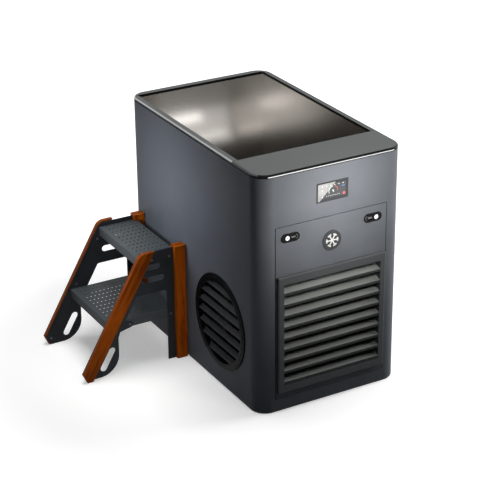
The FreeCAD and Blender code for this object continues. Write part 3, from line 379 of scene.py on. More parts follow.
@dataclass(frozen=True)
class Finish:
    """One procedural finish: a shared effect with its own colours, gloss and relief.

    The colours and the roughness run between two ends along the effect. The stretch squeezes the pattern
    along each axis and the turn rotates it about Y in degrees. The relief is the bump's height in metres.
    """

    name: str
    slot: str
    effect: Effect
    dark: Colour
    light: Colour
    rough: Spot
    scale: float = 900.0
    stretch: Point = (1.0, 1.0, 1.0)
    turn: float = 0.0
    bump: float = 0.15
    relief: float = 0.0002
    metallic: float = 0.0
    specular: float = 0.12
    glow: float = 0.0

    def material(self) -> bpy.types.Material:
        """Finds or builds the finish's material.

        Returns:
            The material.
        """
        if self.name in bpy.data.materials:
            return bpy.data.materials[self.name]
        material = bpy.data.materials.new(self.name)
        material.use_nodes = True
        graph = Graph(material.node_tree)
        turned = (0.0, math.radians(self.turn), 0.0)
        place = graph.add("ShaderNodeMapping", {"Vector": graph.object_place(), "Rotation": turned})
        squeezed = graph.add("ShaderNodeMapping", {"Vector": place.outputs[0], "Scale": self.stretch})
        pattern = {"Vector": squeezed.outputs[0], "Scale": self.scale}
        effect = graph.add("ShaderNodeGroup", pattern, node_tree=self.effect.group())
        colour = graph.blend(effect.outputs["Tone"], self.dark, self.light)
        roughness = graph.spread(effect.outputs["Gloss"], UNIT_SPAN, self.rough)
        relief = {"Strength": self.bump, "Distance": self.relief, "Height": effect.outputs["Height"]}
        normal = graph.add("ShaderNodeBump", relief).outputs[0]
        shading = {"Base Color": colour, "Roughness": roughness, "Normal": normal,
                   "Metallic": self.metallic, "Specular IOR Level": self.specular}
        if self.glow:
            shading |= {"Emission Color": colour, "Emission Strength": self.glow}
        surface = graph.add("ShaderNodeBsdfPrincipled", shading)
        graph.add("ShaderNodeOutputMaterial", {"Surface": surface.outputs[0]})
        return material


class Finishes:
    """The finishes of the tub and its stool."""

    casing = Finish(
        "casing_powder", "casing_paint", Effect.POWDER, (0.100, 0.109, 0.124), (0.122, 0.132, 0.150),
        (0.46, 0.56), scale=1300.0, bump=0.06, specular=0.06)
    rim = Finish(
        "rim_powder", "rim_paint", Effect.POWDER, (0.076, 0.082, 0.081), (0.098, 0.105, 0.104),
        (0.42, 0.54), scale=1500.0, bump=0.10)
    # Black on the rim's upright edges and front chamfer: painted shade under and beside the rim, and a
    # painted dark reflection on the chamfer.
    rim_edge_painted_shade = Finish(
        "rim_edge_painted_shade_black", "rim_paint", Effect.POWDER, (0.0026, 0.0028, 0.0032), (0.0042, 0.0045, 0.0050),
        (0.30, 0.40), scale=1500.0, bump=0.05, specular=0.06)
    # A bright bare-metal band along the lower front edge of the deck, standing in for the highlight line
    # there: a painted highlight.
    deck_painted_highlight = Finish(
        "deck_edge_painted_highlight", "rim_paint", Effect.BRUSHED, (0.62, 0.62, 0.62), (0.74, 0.74, 0.74),
        (0.18, 0.26), scale=3.0, stretch=(0.6, 0.6, 190.0), bump=0.02, relief=0.0001, metallic=1.0)
    # A paler metal band on the side strips' outer chamfers, standing in for their highlight line: a painted
    # highlight.
    side_painted_highlight = replace(
        deck_painted_highlight, name="side_edge_painted_highlight", dark=(0.36, 0.37, 0.37), light=(0.44, 0.45, 0.45),
        rough=(0.22, 0.30))
    louvre = Finish(
        "louvre_powder", "louvre_paint", Effect.POWDER, (0.052, 0.057, 0.060), (0.066, 0.072, 0.075),
        (0.34, 0.46), scale=1400.0, bump=0.06)
    # The blades' lips and upper faces are a shaded and a lit copy of one powder coat: the dark lips are
    # painted shade, the pale faces painted light.
    louvre_lip_painted_shade = Finish(
        "louvre_lip_painted_shade_powder", "louvre_paint", Effect.POWDER, (0.034, 0.037, 0.037), (0.044, 0.047, 0.047),
        (0.44, 0.54), scale=1400.0, bump=0.06, specular=0.06)
    louvre_face_painted_light = replace(
        louvre_lip_painted_shade, name="louvre_face_painted_light_powder", dark=(0.215, 0.228, 0.222), light=(0.245, 0.259, 0.252))
    steel = Finish(
        "brushed_steel", "basin_steel", Effect.BRUSHED, (0.583, 0.559, 0.531), (0.597, 0.574, 0.545),
        (0.205, 0.215), scale=3.0, stretch=(0.6, 0.6, 260.0), bump=0.01, relief=0.0001, metallic=1.0)
    steel_flat = replace(steel, name="brushed_steel_flat", stretch=(0.6, 260.0, 0.6))
    rubber = Finish(
        "black_rubber", "seal_rubber", Effect.MOULDED, (0.006, 0.006, 0.007), (0.012, 0.012, 0.013),
        (0.55, 0.7), scale=700.0, bump=0.1)
    plastic = Finish(
        "black_moulded", "black_plastic", Effect.MOULDED, (0.008, 0.008, 0.009), (0.016, 0.016, 0.018),
        (0.30, 0.44), scale=1100.0, bump=0.08)
    # Near-black, darker than the other black plastic, so that the vent's gaps read as shade: black plastic
    # with painted shade.
    fan = Finish(
        "fan_painted_shade_black", "black_plastic", Effect.MOULDED, (0.0016, 0.0017, 0.0018), (0.0030, 0.0031, 0.0033),
        (0.40, 0.50), scale=900.0, bump=0.04, specular=0.05)
    latch = Finish(
        "latch_black", "black_plastic", Effect.MOULDED, (0.0016, 0.0016, 0.0018), (0.0030, 0.0030, 0.0034),
        (0.14, 0.22), scale=900.0, bump=0.02, specular=0.1)
    # Light grey standing in for the highlight line along the latch's grip, a painted highlight; the half ring
    # shares this grey.
    grip_painted_highlight = Finish(
        "grip_painted_highlight", "black_plastic", Effect.MOULDED, (0.10, 0.105, 0.11), (0.16, 0.165, 0.17),
        (0.28, 0.40), scale=900.0, bump=0.04)
    gloss = Finish(
        "gloss_black", "gloss_black", Effect.MOULDED, (0.0012, 0.0012, 0.0014), (0.0020, 0.0020, 0.0022),
        (0.10, 0.18), scale=300.0, bump=0.01, specular=0.06)
    vent_gloss = Finish(
        "vent_gloss", "gloss_black", Effect.MOULDED, (0.0024, 0.0028, 0.0032), (0.0045, 0.0050, 0.0055),
        (0.24, 0.34), scale=900.0, bump=0.03, specular=0.03)
    vent_blade = Finish(
        "vent_blade_skin", "gloss_black", Effect.MOULDED, (0.030, 0.032, 0.034), (0.040, 0.042, 0.045),
        (0.34, 0.44), scale=1100.0, bump=0.05)
    screen = Finish(
        "screen_face", "display_screen", Effect.MOULDED, (0.050, 0.053, 0.056), (0.064, 0.067, 0.070),
        (0.16, 0.22), scale=500.0, bump=0.0)
    # A pale patch on the display glass as a painted reflection of glare.
    screen_painted_glare = replace(
        screen, name="screen_painted_glare", dark=(0.22, 0.225, 0.23), light=(0.30, 0.305, 0.31), scale=40.0)
    mark_white = Finish(
        "mark_white", "display_screen", Effect.MOULDED, (0.55, 0.57, 0.58), (0.75, 0.77, 0.78),
        (0.3, 0.4), scale=900.0, bump=0.0, glow=0.5)
    mark_green = replace(
        mark_white, name="mark_green", dark=(0.40, 0.47, 0.42), light=(0.52, 0.60, 0.54), glow=0.3)
    mark_red = replace(
        mark_white, name="mark_red", dark=(0.34, 0.07, 0.08), light=(0.44, 0.12, 0.13), glow=0.2)
    mark_blue = replace(
        mark_white, name="mark_blue", dark=(0.05, 0.16, 0.42), light=(0.09, 0.24, 0.55), glow=0.3)
    lock = Finish(
        "lock_metal", "lock_metal", Effect.BRUSHED, (0.52, 0.52, 0.51), (0.70, 0.70, 0.69),
        (0.18, 0.30), scale=6.0, stretch=(60.0, 60.0, 2.0), bump=0.03, relief=0.0001, metallic=1.0)
    bolt = replace(
        lock, name="bolt_metal", dark=(0.07, 0.07, 0.075), light=(0.13, 0.13, 0.135), rough=(0.26, 0.38))
    snowflake = Finish(
        "snowflake_paint", "frame_paint", Effect.POWDER, (0.60, 0.61, 0.62), (0.70, 0.71, 0.72),
        (0.40, 0.50), scale=900.0, bump=0.05)
    badge = Finish(
        "badge_face", "frame_paint", Effect.POWDER, (0.036, 0.038, 0.041), (0.046, 0.048, 0.052),
        (0.36, 0.46), scale=1200.0, bump=0.05)
    frame = Finish(
        "frame_paint", "frame_paint", Effect.POWDER, (0.020, 0.021, 0.023), (0.032, 0.033, 0.035),
        (0.42, 0.55), scale=1200.0, bump=0.1)
    foam = Finish(
        "pale_foam", "foam", Effect.POWDER, (0.52, 0.48, 0.38), (0.66, 0.62, 0.50),
        (0.85, 0.95), scale=260.0, bump=0.5, relief=0.001)
    fins = Finish(
        "fin_coating", "fin_metal", Effect.BRUSHED, (0.006, 0.0065, 0.007), (0.014, 0.0145, 0.015),
        (0.4, 0.55), scale=3.0, stretch=(260.0, 4.0, 4.0), bump=0.5, relief=0.0006, specular=0.05)
    copper = Finish(
        "copper_tube", "copper", Effect.BRUSHED, (0.52, 0.24, 0.13), (0.74, 0.38, 0.24),
        (0.22, 0.38), scale=4.0, stretch=(30.0, 30.0, 30.0), bump=0.05, metallic=1.0)
    lever = Finish(
        "lever_red", "lever_red", Effect.MOULDED, (0.34, 0.018, 0.014), (0.46, 0.030, 0.024),
        (0.30, 0.42), scale=900.0, bump=0.08)
    filter_blue = Finish(
        "filter_blue", "filter_blue", Effect.MOULDED, (0.030, 0.085, 0.24), (0.045, 0.12, 0.32),
        (0.20, 0.32), scale=500.0, bump=0.04)
    stool = Finish(
        "stool_powder", "stool_paint", Effect.POWDER, (0.017, 0.019, 0.022), (0.025, 0.027, 0.031),
        (0.40, 0.52), scale=1300.0, bump=0.08)
    tread = Finish(
        "tread_powder", "tread_paint", Effect.POWDER, (0.050, 0.057, 0.061), (0.066, 0.075, 0.080),
        (0.42, 0.54), scale=1300.0, bump=0.10)
    # One wood in two copies: the posts' lighter colour is painted light and the rails' darker colour painted
    # shade, for how light falls on them.
    post_wood_painted_light = Finish(
        "post_wood_painted_light", "stool_wood", Effect.WOOD, (0.155, 0.026, 0.0005), (0.400, 0.084, 0.002),
        (0.30, 0.46), scale=1.6, stretch=(42.0, 42.0, 2.2), bump=0.12, relief=0.0003, specular=0.06)
    rail_wood_painted_shade = replace(
        post_wood_painted_light, name="rail_wood_painted_shade", dark=(0.100, 0.016, 0.0004), light=(0.255, 0.053, 0.0018), turn=-30.0)


# Mesh drafting

def add_object(name: str, data: bpy.types.ID) -> bpy.types.Object:
    """Adds an object to the scene.

    Args:
        name: The object's name.
        data: Its mesh, light or camera.

    Returns:
        The new object.
    """
    made = bpy.data.objects.new(name, data)
    bpy.context.scene.collection.objects.link(made)
    return made


def add_mesh(name: str, mesh: bmesh.types.BMesh) -> bpy.types.Object:
    """Adds a drafted mesh to the scene.

    Args:
        name: The object's name.
        mesh: The mesh, which is freed.

    Returns:
        The new object.
    """
    data = bpy.data.meshes.new(name)
    mesh.to_mesh(data)
    mesh.free()
    return add_object(name, data)


class Draft:
    """A mesh in the making, in millimetres."""

    def __init__(self) -> None:
        """Starts with an empty mesh and no coats besides the piece's own finish."""
        self.mesh = bmesh.new()
        self.coats: list[Finish] = []

    def block(self, low: Point, high: Point) -> list[BMVert]:
        """Adds a box.

        Args:
            low: The lowest corner.
            high: The highest corner.

        Returns:
            The box's vertices.
        """
        first, last = Vector(low), Vector(high)
        verts = bmesh.ops.create_cube(self.mesh, size=1.0)["verts"]
        bmesh.ops.scale(self.mesh, verts=verts, vec=last - first)
        bmesh.ops.translate(self.mesh, verts=verts, vec=(first + last) / 2)
        return verts

    def everything(self) -> list[BMVert | BMEdge | BMFace]:
        """Returns all vertices, edges and faces."""
        return self.mesh.verts[:] + self.mesh.edges[:] + self.mesh.faces[:]

    def edges_among(self, verts: Iterable[BMVert], test: PairTest) -> list[BMEdge]:
        """Finds the edges between some vertices whose two ends pass a test.

        Args:
            verts: The vertices to look among.
            test: The test of an edge's two ends.

        Returns:
            The edges found.
        """
        chosen = set(verts)
        inside = [edge for edge in self.mesh.edges if chosen.issuperset(edge.verts)]
        return [edge for edge in inside if test(edge.verts[0].co, edge.verts[1].co)]

    def bevel(self, edges: Sequence[BMEdge], width: float, segments: int) -> None:
        """Rounds edges, or chamfers them where there is one segment."""
        bmesh.ops.bevel(self.mesh, geom=list(edges), offset=width, offset_type="OFFSET", segments=segments,
                        profile=0.5, affect="EDGES", clamp_overlap=True, material=-1)

    def rounded_block(self, low: Point, high: Point, plane: Plane, radius: float, segments: int = 8) -> None:
        """Adds a box whose edges across a plane are rounded.

        Args:
            low: The lowest corner.
            high: The highest corner.
            plane: The plane that shows the rounded outline.
            radius: The radius of the rounds.
            segments: The number of facets in each round.
        """
        along = plane.normal
        verts = self.block(low, high)
        edges = self.edges_among(
            verts, lambda start, end: abs((end - start).normalized().dot(along)) > PARALLEL)
        self.bevel(edges, radius, segments)

    def loop(self, outline: Outline, plane: Plane, level: float) -> list[BMEdge]:
        """Adds a closed wire.

        Args:
            outline: The spots of the wire.
            plane: The plane it lies in.
            level: The plane's level.

        Returns:
            The wire's edges in order.
        """
        verts = [self.mesh.verts.new(plane.point(across, along, level)) for across, along in outline]
        return [self.mesh.edges.new(pair) for pair in zip(verts, verts[1:] + verts[:1])]

    def fill(self, edges: Sequence[BMEdge], plane: Plane) -> list[BMFace]:
        """Fills between closed wires, so that the inner ones become holes.

        Args:
            edges: The edges of all wires.
            plane: The plane they lie in.

        Returns:
            The new faces.
        """
        made = bmesh.ops.triangle_fill(self.mesh, use_beauty=True, edges=list(edges), normal=plane.normal)
        return [item for item in made["geom"] if isinstance(item, BMFace)]

    def shift(self, grown: Iterable[BMVert | BMEdge | BMFace], offset: Vector) -> None:
        """Moves the vertices among extruded geometry."""
        verts = [item for item in grown if isinstance(item, BMVert)]
        bmesh.ops.translate(self.mesh, verts=verts, vec=offset)

    def push_edges(self, edges: Sequence[BMEdge], offset: Vector) -> None:
        """Extrudes edges by an offset."""
        grown = bmesh.ops.extrude_edge_only(self.mesh, edges=list(edges))["geom"]
        self.shift(grown, offset)

    def plate(self, outline: Outline, plane: Plane, levels: Spot, holes: Sequence[Outline] = ()) -> None:
        """Adds a solid plate.

        Args:
            outline: The plate's outline.
            plane: The plane it lies in.
            levels: The levels of its two faces.
            holes: The outlines of the holes through it.
        """
        edges = self.loop(outline, plane, levels[0])
        for hole in holes:
            edges += self.loop(hole, plane, levels[0])
        faces = self.fill(edges, plane)
        grown = bmesh.ops.extrude_face_region(self.mesh, geom=faces)["geom"]
        self.shift(grown, plane.normal * (levels[1] - levels[0]))

    def loft(self, wires: Sequence[tuple[Outline, float]], plane: Plane, closed: bool) -> None:
        """Adds a skin through wires of equal count.

        Args:
            wires: The outline and level of each wire.
            plane: The plane that the wires lie in.
            closed: Whether the skin goes on from the last wire to the first.
        """
        loops = [self.loop(outline, plane, level) for outline, level in wires]
        pairs = list(zip(loops, loops[1:]))
        if closed:
            pairs.append((loops[-1], loops[0]))
        for first, second in pairs:
            bmesh.ops.bridge_loops(self.mesh, edges=first + second)

    def lathe(self, profile: Sequence[Spot], plane: Plane, centre: Spot, steps: int = 48) -> None:
        """Spins a profile round an axis.

        Args:
            profile: The radius and level of each spot.
            plane: The plane that the axis stands on.
            centre: The axis in that plane.
            steps: The number of facets round the axis.
        """
        places = [plane.point(centre[0] + radius, centre[1], level) for radius, level in profile]
        verts = [self.mesh.verts.new(place) for place in places]
        edges = [self.mesh.edges.new(pair) for pair in zip(verts, verts[1:])]
        bmesh.ops.spin(self.mesh, geom=verts + edges, cent=plane.point(*centre, 0.0), axis=plane.normal,
                       dvec=Vector(), angle=math.tau, steps=steps, use_merge=True, use_duplicate=False)
        bmesh.ops.remove_doubles(self.mesh, verts=self.mesh.verts, dist=WELD_GAP)

    def keep_behind(self, point: Point, normal: Point) -> None:
        """Cuts a convex solid with a plane and keeps what lies against its normal.

        Args:
            point: A point of the plane.
            normal: The plane's normal.
        """
        cut = bmesh.ops.bisect_plane(self.mesh, geom=self.everything(), dist=CUT_GAP, plane_co=point,
                                     plane_no=normal, clear_outer=True)
        edges = [item for item in cut["geom_cut"] if isinstance(item, BMEdge)]
        bmesh.ops.holes_fill(self.mesh, edges=edges, sides=0)

    def coat(self, finish: Finish, test: PairTest) -> None:
        """Gives the faces that pass a test a finish of their own.

        Args:
            finish: The finish.
            test: The test of a face's outward normal and its middle.
        """
        bmesh.ops.recalc_face_normals(self.mesh, faces=self.mesh.faces)
        self.coats.append(finish)
        for face in self.mesh.faces:
            if test(face.normal, face.calc_center_median()):
                face.material_index = len(self.coats)

    def piece(self, name: str, body: Body, finish: Finish, nodes: Sequence[str] = (), wall: float = 0.0,
              rounding: float = 0.0, segments: int = 2) -> None:
        """Finishes the mesh as a piece of the object.

        Args:
            name: The piece's name.
            body: The CAD body it rides on.
            finish: Its finish.
            nodes: The CAD nodes it stands for.
            wall: The thickness that a sheet gets behind its faces.
            rounding: The width of the round on its sharp edges.
            segments: The facets of that round.
        """
        bmesh.ops.remove_doubles(self.mesh, verts=self.mesh.verts, dist=WELD_GAP)
        bmesh.ops.recalc_face_normals(self.mesh, faces=self.mesh.faces)
        bmesh.ops.scale(self.mesh, verts=self.mesh.verts, vec=Vector((MM, MM, MM)))
        made = add_mesh(name, self.mesh)
        for coat in (finish, *self.coats):
            made.data.materials.append(coat.material())
        made.data.shade_smooth()
        if wall:
            sheet = made.modifiers.new("wall", "SOLIDIFY")
            sheet.thickness = wall * MM
            sheet.offset = -1.0
            sheet.use_even_offset = True
        if rounding:
            edge = made.modifiers.new("edges", "BEVEL")
            edge.width = rounding * MM
            edge.segments = segments
            edge.limit_method = "ANGLE"
            edge.angle_limit = SHARP_ANGLE
            edge.use_clamp_overlap = True
            made.modifiers.new("normals", "WEIGHTED_NORMAL").keep_sharp = True
        else:
            made.data.set_sharp_from_angle(angle=SHARP_ANGLE)
        settle(made, body, nodes)


def settle(made: bpy.types.Object, body: Body, nodes: Sequence[str]) -> None:
    """Puts a finished piece on its body and reports it.

    Args:
        made: The piece.
        body: The CAD body it rides on.
        nodes: The CAD nodes it stands for.
    """
    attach(made, body.value)
    if nodes:
        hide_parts(*nodes)
    log.info("%s rides on %s", made.name, body.value)


def dress_node(node: str, finish: Finish) -> None:
    """Gives a CAD node that stays in view its finish."""
    data = frame["nodes"][node].data
    data.materials.clear()
    data.materials.append(finish.material())
    log.info("%s dressed with %s", node, finish.name)


def smooth_copy(node: str, body: Body, finish: Finish) -> None:
    """Stands a smoothly shaded copy in the place of a CAD node.

    Args:
        node: The CAD node.
        body: The CAD body it belongs to.
        finish: The copy's finish.
    """
    mesh = bmesh.new()
    mesh.from_mesh(frame["nodes"][node].data)
    bmesh.ops.remove_doubles(mesh, verts=mesh.verts, dist=NODE_WELD_GAP)
    made = add_mesh(node + "_smooth", mesh)
    made.data.materials.append(finish.material())
    made.data.shade_smooth()
    made.data.set_sharp_from_angle(angle=SHARP_ANGLE)
    settle(made, body, [node])


# Sub-assemblies

@dataclass
class Casing:
    """The painted sheet casing with its door opening and holes, on the base pan."""

    half_width: float = HALF_WIDTH
    half_length: float = HALF_LENGTH
    bottom: float = 4.0
    top: float = 1035.0
    corner: float = CORNER
    sheet: float = 2.0
    opening_half: float = 262.0
    opening_bottom: float = 57.0
    opening_top: float = 822.0
    opening_return: float = 21.0
    display_half: Spot = (70.8, 38.8)
    display_height: float = DISPLAY_HEIGHT
    vent_centre: Spot = VENT_CENTRE
    vent_hole: float = 185.3
    spigot_centre: Spot = (-400.0, 145.0)
    spigot_hole: float = 12.3
    inlet_centre: Spot = (-150.0, 200.0)
    inlet_half: Spot = (24.3, 19.3)
    corner_facets: int = CORNER_FACETS
    vent_facets: int = 64

    def build(self) -> None:
        """Builds the casing as one sheet round the tub and dresses the base pan."""
        draft = Draft()
        low = (-self.half_width, -self.half_length, self.bottom)
        high = (self.half_width, self.half_length, self.top)
        draft.rounded_block(low, high, Plane.TOP, self.corner, self.corner_facets)
        ends = [face for face in draft.mesh.faces if abs(face.normal.z) > PARALLEL]
        bmesh.ops.delete(draft.mesh, geom=ends, context="FACES_ONLY")
        opening = rectangle(self.opening_half, self.opening_bottom, self.opening_top)
        display = rectangle_about((0.0, self.display_height), self.display_half)
        vent = circle(self.vent_centre, self.vent_hole, self.vent_facets)
        inlet = rectangle_about(self.inlet_centre, self.inlet_half)
        rim = self.pierce(draft, Plane.FRONT, -self.half_length, [opening, display])[0]
        self.pierce(draft, Plane.SIDE, -self.half_width, [vent])
        self.pierce(draft, Plane.SIDE, self.half_width, [circle(self.spigot_centre, self.spigot_hole), inlet])
        draft.push_edges(rim, Vector((0.0, self.opening_return, 0.0)))
        nodes = ["casing_front", "casing_left", "casing_right", "casing_back"]
        draft.piece("casing_shell", Body.TUB, Finishes.casing, nodes, wall=self.sheet, rounding=0.8)
        dress_node("base_pan", Finishes.frame)

    @staticmethod
    def pierce(draft: Draft, plane: Plane, level: float, holes: Sequence[Outline]) -> list[list[BMEdge]]:
        """Swaps a flat wall for one with holes.

        Args:
            draft: The casing's mesh.
            plane: The wall's plane.
            level: The wall's level.
            holes: The outlines of the holes.

        Returns:
            The edges of each hole.
        """
        walls = [face for face in draft.mesh.faces
                 if all(abs(vert.co[plane.value] - level) < LEVEL_GAP for vert in face.verts)]
        border = [edge for wall in walls for edge in wall.edges]
        bmesh.ops.delete(draft.mesh, geom=walls, context="FACES_ONLY")
        wires = [draft.loop(hole, plane, level) for hole in holes]
        draft.fill(border + [edge for wire in wires for edge in wire], plane)
        return wires


@dataclass
class RimRing:
    """The front deck and the three rim strips with mitred back corners, over a black seal.

    Faces are told apart by their normals: an upright face has less than the upright share of it upwards, a
    level one at least the level share, a chamfer more than the sloped share of it outwards, and the deck's
    front face more than the forward share of it forwards.
    """

    half_width: float = HALF_WIDTH
    half_length: float = HALF_LENGTH
    bottom: float = 1038.0
    top: float = 1050.0
    corner: float = CORNER
    chamfer: float = 5.0
    inner_half: float = 312.0
    deck_edge: float = -357.5
    inner_back: float = 523.5
    seam: float = 1.5
    # The height of the bright band that is painted as a highlight on the deck's front face.
    highlight_band: float = 4.0
    edge_round: float = 0.5
    corner_facets: int = CORNER_FACETS
    upright: float = 0.3
    level: float = 0.95
    sloped: float = 0.45
    forward: float = 0.97

    def slab(self) -> Draft:
        """Drafts the whole slab that the strips are cut from.

        Returns:
            The slab with its rounded corners and chamfered upper edge.
        """
        draft = Draft()
        low = (-self.half_width, -self.half_length, self.bottom)
        high = (self.half_width, self.half_length, self.top)
        draft.rounded_block(low, high, Plane.TOP, self.corner, self.corner_facets)
        lowest = self.top - LEVEL_GAP
        upper = draft.edges_among(draft.mesh.verts, lambda start, end: min(start.z, end.z) > lowest)
        draft.bevel(upper, self.chamfer, segments=1)
        return draft

    def build(self) -> None:
        """Cuts the deck and the strips out of slabs and dresses the seal."""
        deck = self.slab()
        deck.keep_behind((0.0, self.deck_edge, 0.0), (0.0, 1.0, 0.0))
        self.paint_edge_shade(deck)
        # The lower part of the deck's front face gets a bright metal band as a painted highlight.
        highlight_band_top = self.bottom + self.highlight_band
        bmesh.ops.bisect_plane(deck.mesh, geom=deck.everything(), dist=CUT_GAP, plane_co=(0.0, 0.0, highlight_band_top),
                               plane_no=Plane.TOP.normal)
        deck.coat(Finishes.deck_painted_highlight, lambda out, middle: out.y < -self.forward and middle.z < highlight_band_top)
        deck.piece("front_deck_plate", Body.TUB, Finishes.rim, ["front_deck"], rounding=self.edge_round)
        for side in Side:
            strip = self.slab()
            strip.keep_behind((0.0, self.deck_edge + self.seam, 0.0), (0.0, -1.0, 0.0))
            strip.keep_behind((side.value * self.inner_half, 0.0, 0.0), (-side.value, 0.0, 0.0))
            strip.keep_behind(*self.mitre(side, 1.0))
            self.paint_edge_shade(strip)
            # The side strips' chamfers get the paler metal band as a painted highlight.
            strip.coat(Finishes.side_painted_highlight,
                       lambda out, _: abs(out.x) > self.sloped and self.upright < out.z < self.level)
            node = "rim_" + side.name.lower()
            strip.piece(node + "_strip", Body.TUB, Finishes.rim, [node], rounding=self.edge_round)
        strip = self.slab()
        strip.keep_behind((0.0, self.inner_back, 0.0), (0.0, -1.0, 0.0))
        for side in Side:
            strip.keep_behind(*self.mitre(side, -1.0))
        self.paint_edge_shade(strip)
        strip.piece("rim_back_strip", Body.TUB, Finishes.rim, ["rim_back"], rounding=self.edge_round)
        dress_node("rim_seal", Finishes.rubber)

    def paint_edge_shade(self, strip: Draft) -> None:
        """Paints the upright edges of a strip and the chamfer along the front black, as painted shade under
        and beside the strip and a painted dark reflection on the chamfer.
        """
        strip.coat(Finishes.rim_edge_painted_shade, lambda out, _: abs(out.z) < self.upright
                   or (out.y < -self.sloped and out.z < self.level))

    def mitre(self, side: Side, way: float) -> tuple[Point, Point]:
        """Finds the plane of a mitre at a back corner.

        Args:
            side: The corner's side.
            way: 1 for the side strip's face of the seam and -1 for the back strip's.

        Returns:
            A point of the plane, and its normal out of the strip.
        """
        across, back = self.half_width - self.inner_half, self.half_length - self.inner_back
        along = Vector((side.value * across, back, 0.0))
        out = Vector((-side.value * along.y, side.value * along.x, 0.0)).normalized() * way
        place = Vector((side.value * self.inner_half, self.inner_back, 0.0)) - out * (self.seam / 2)
        return tuple(place), tuple(out)


@dataclass
class Basin:
    """The welded stainless basin."""

    upright: tuple[str, ...] = ("basin_front_wall", "basin_back_wall", "basin_left_wall", "basin_right_wall",
                                "basin_riser")
    level: tuple[str, ...] = ("basin_seat", "basin_floor")

    def build(self) -> None:
        """Dresses the basin's panels and its fittings."""
        for node in self.upright:
            dress_node(node, Finishes.steel)
        for node in self.level:
            dress_node(node, Finishes.steel_flat)
        smooth_copy("basin_fittings", Body.TUB, Finishes.steel)


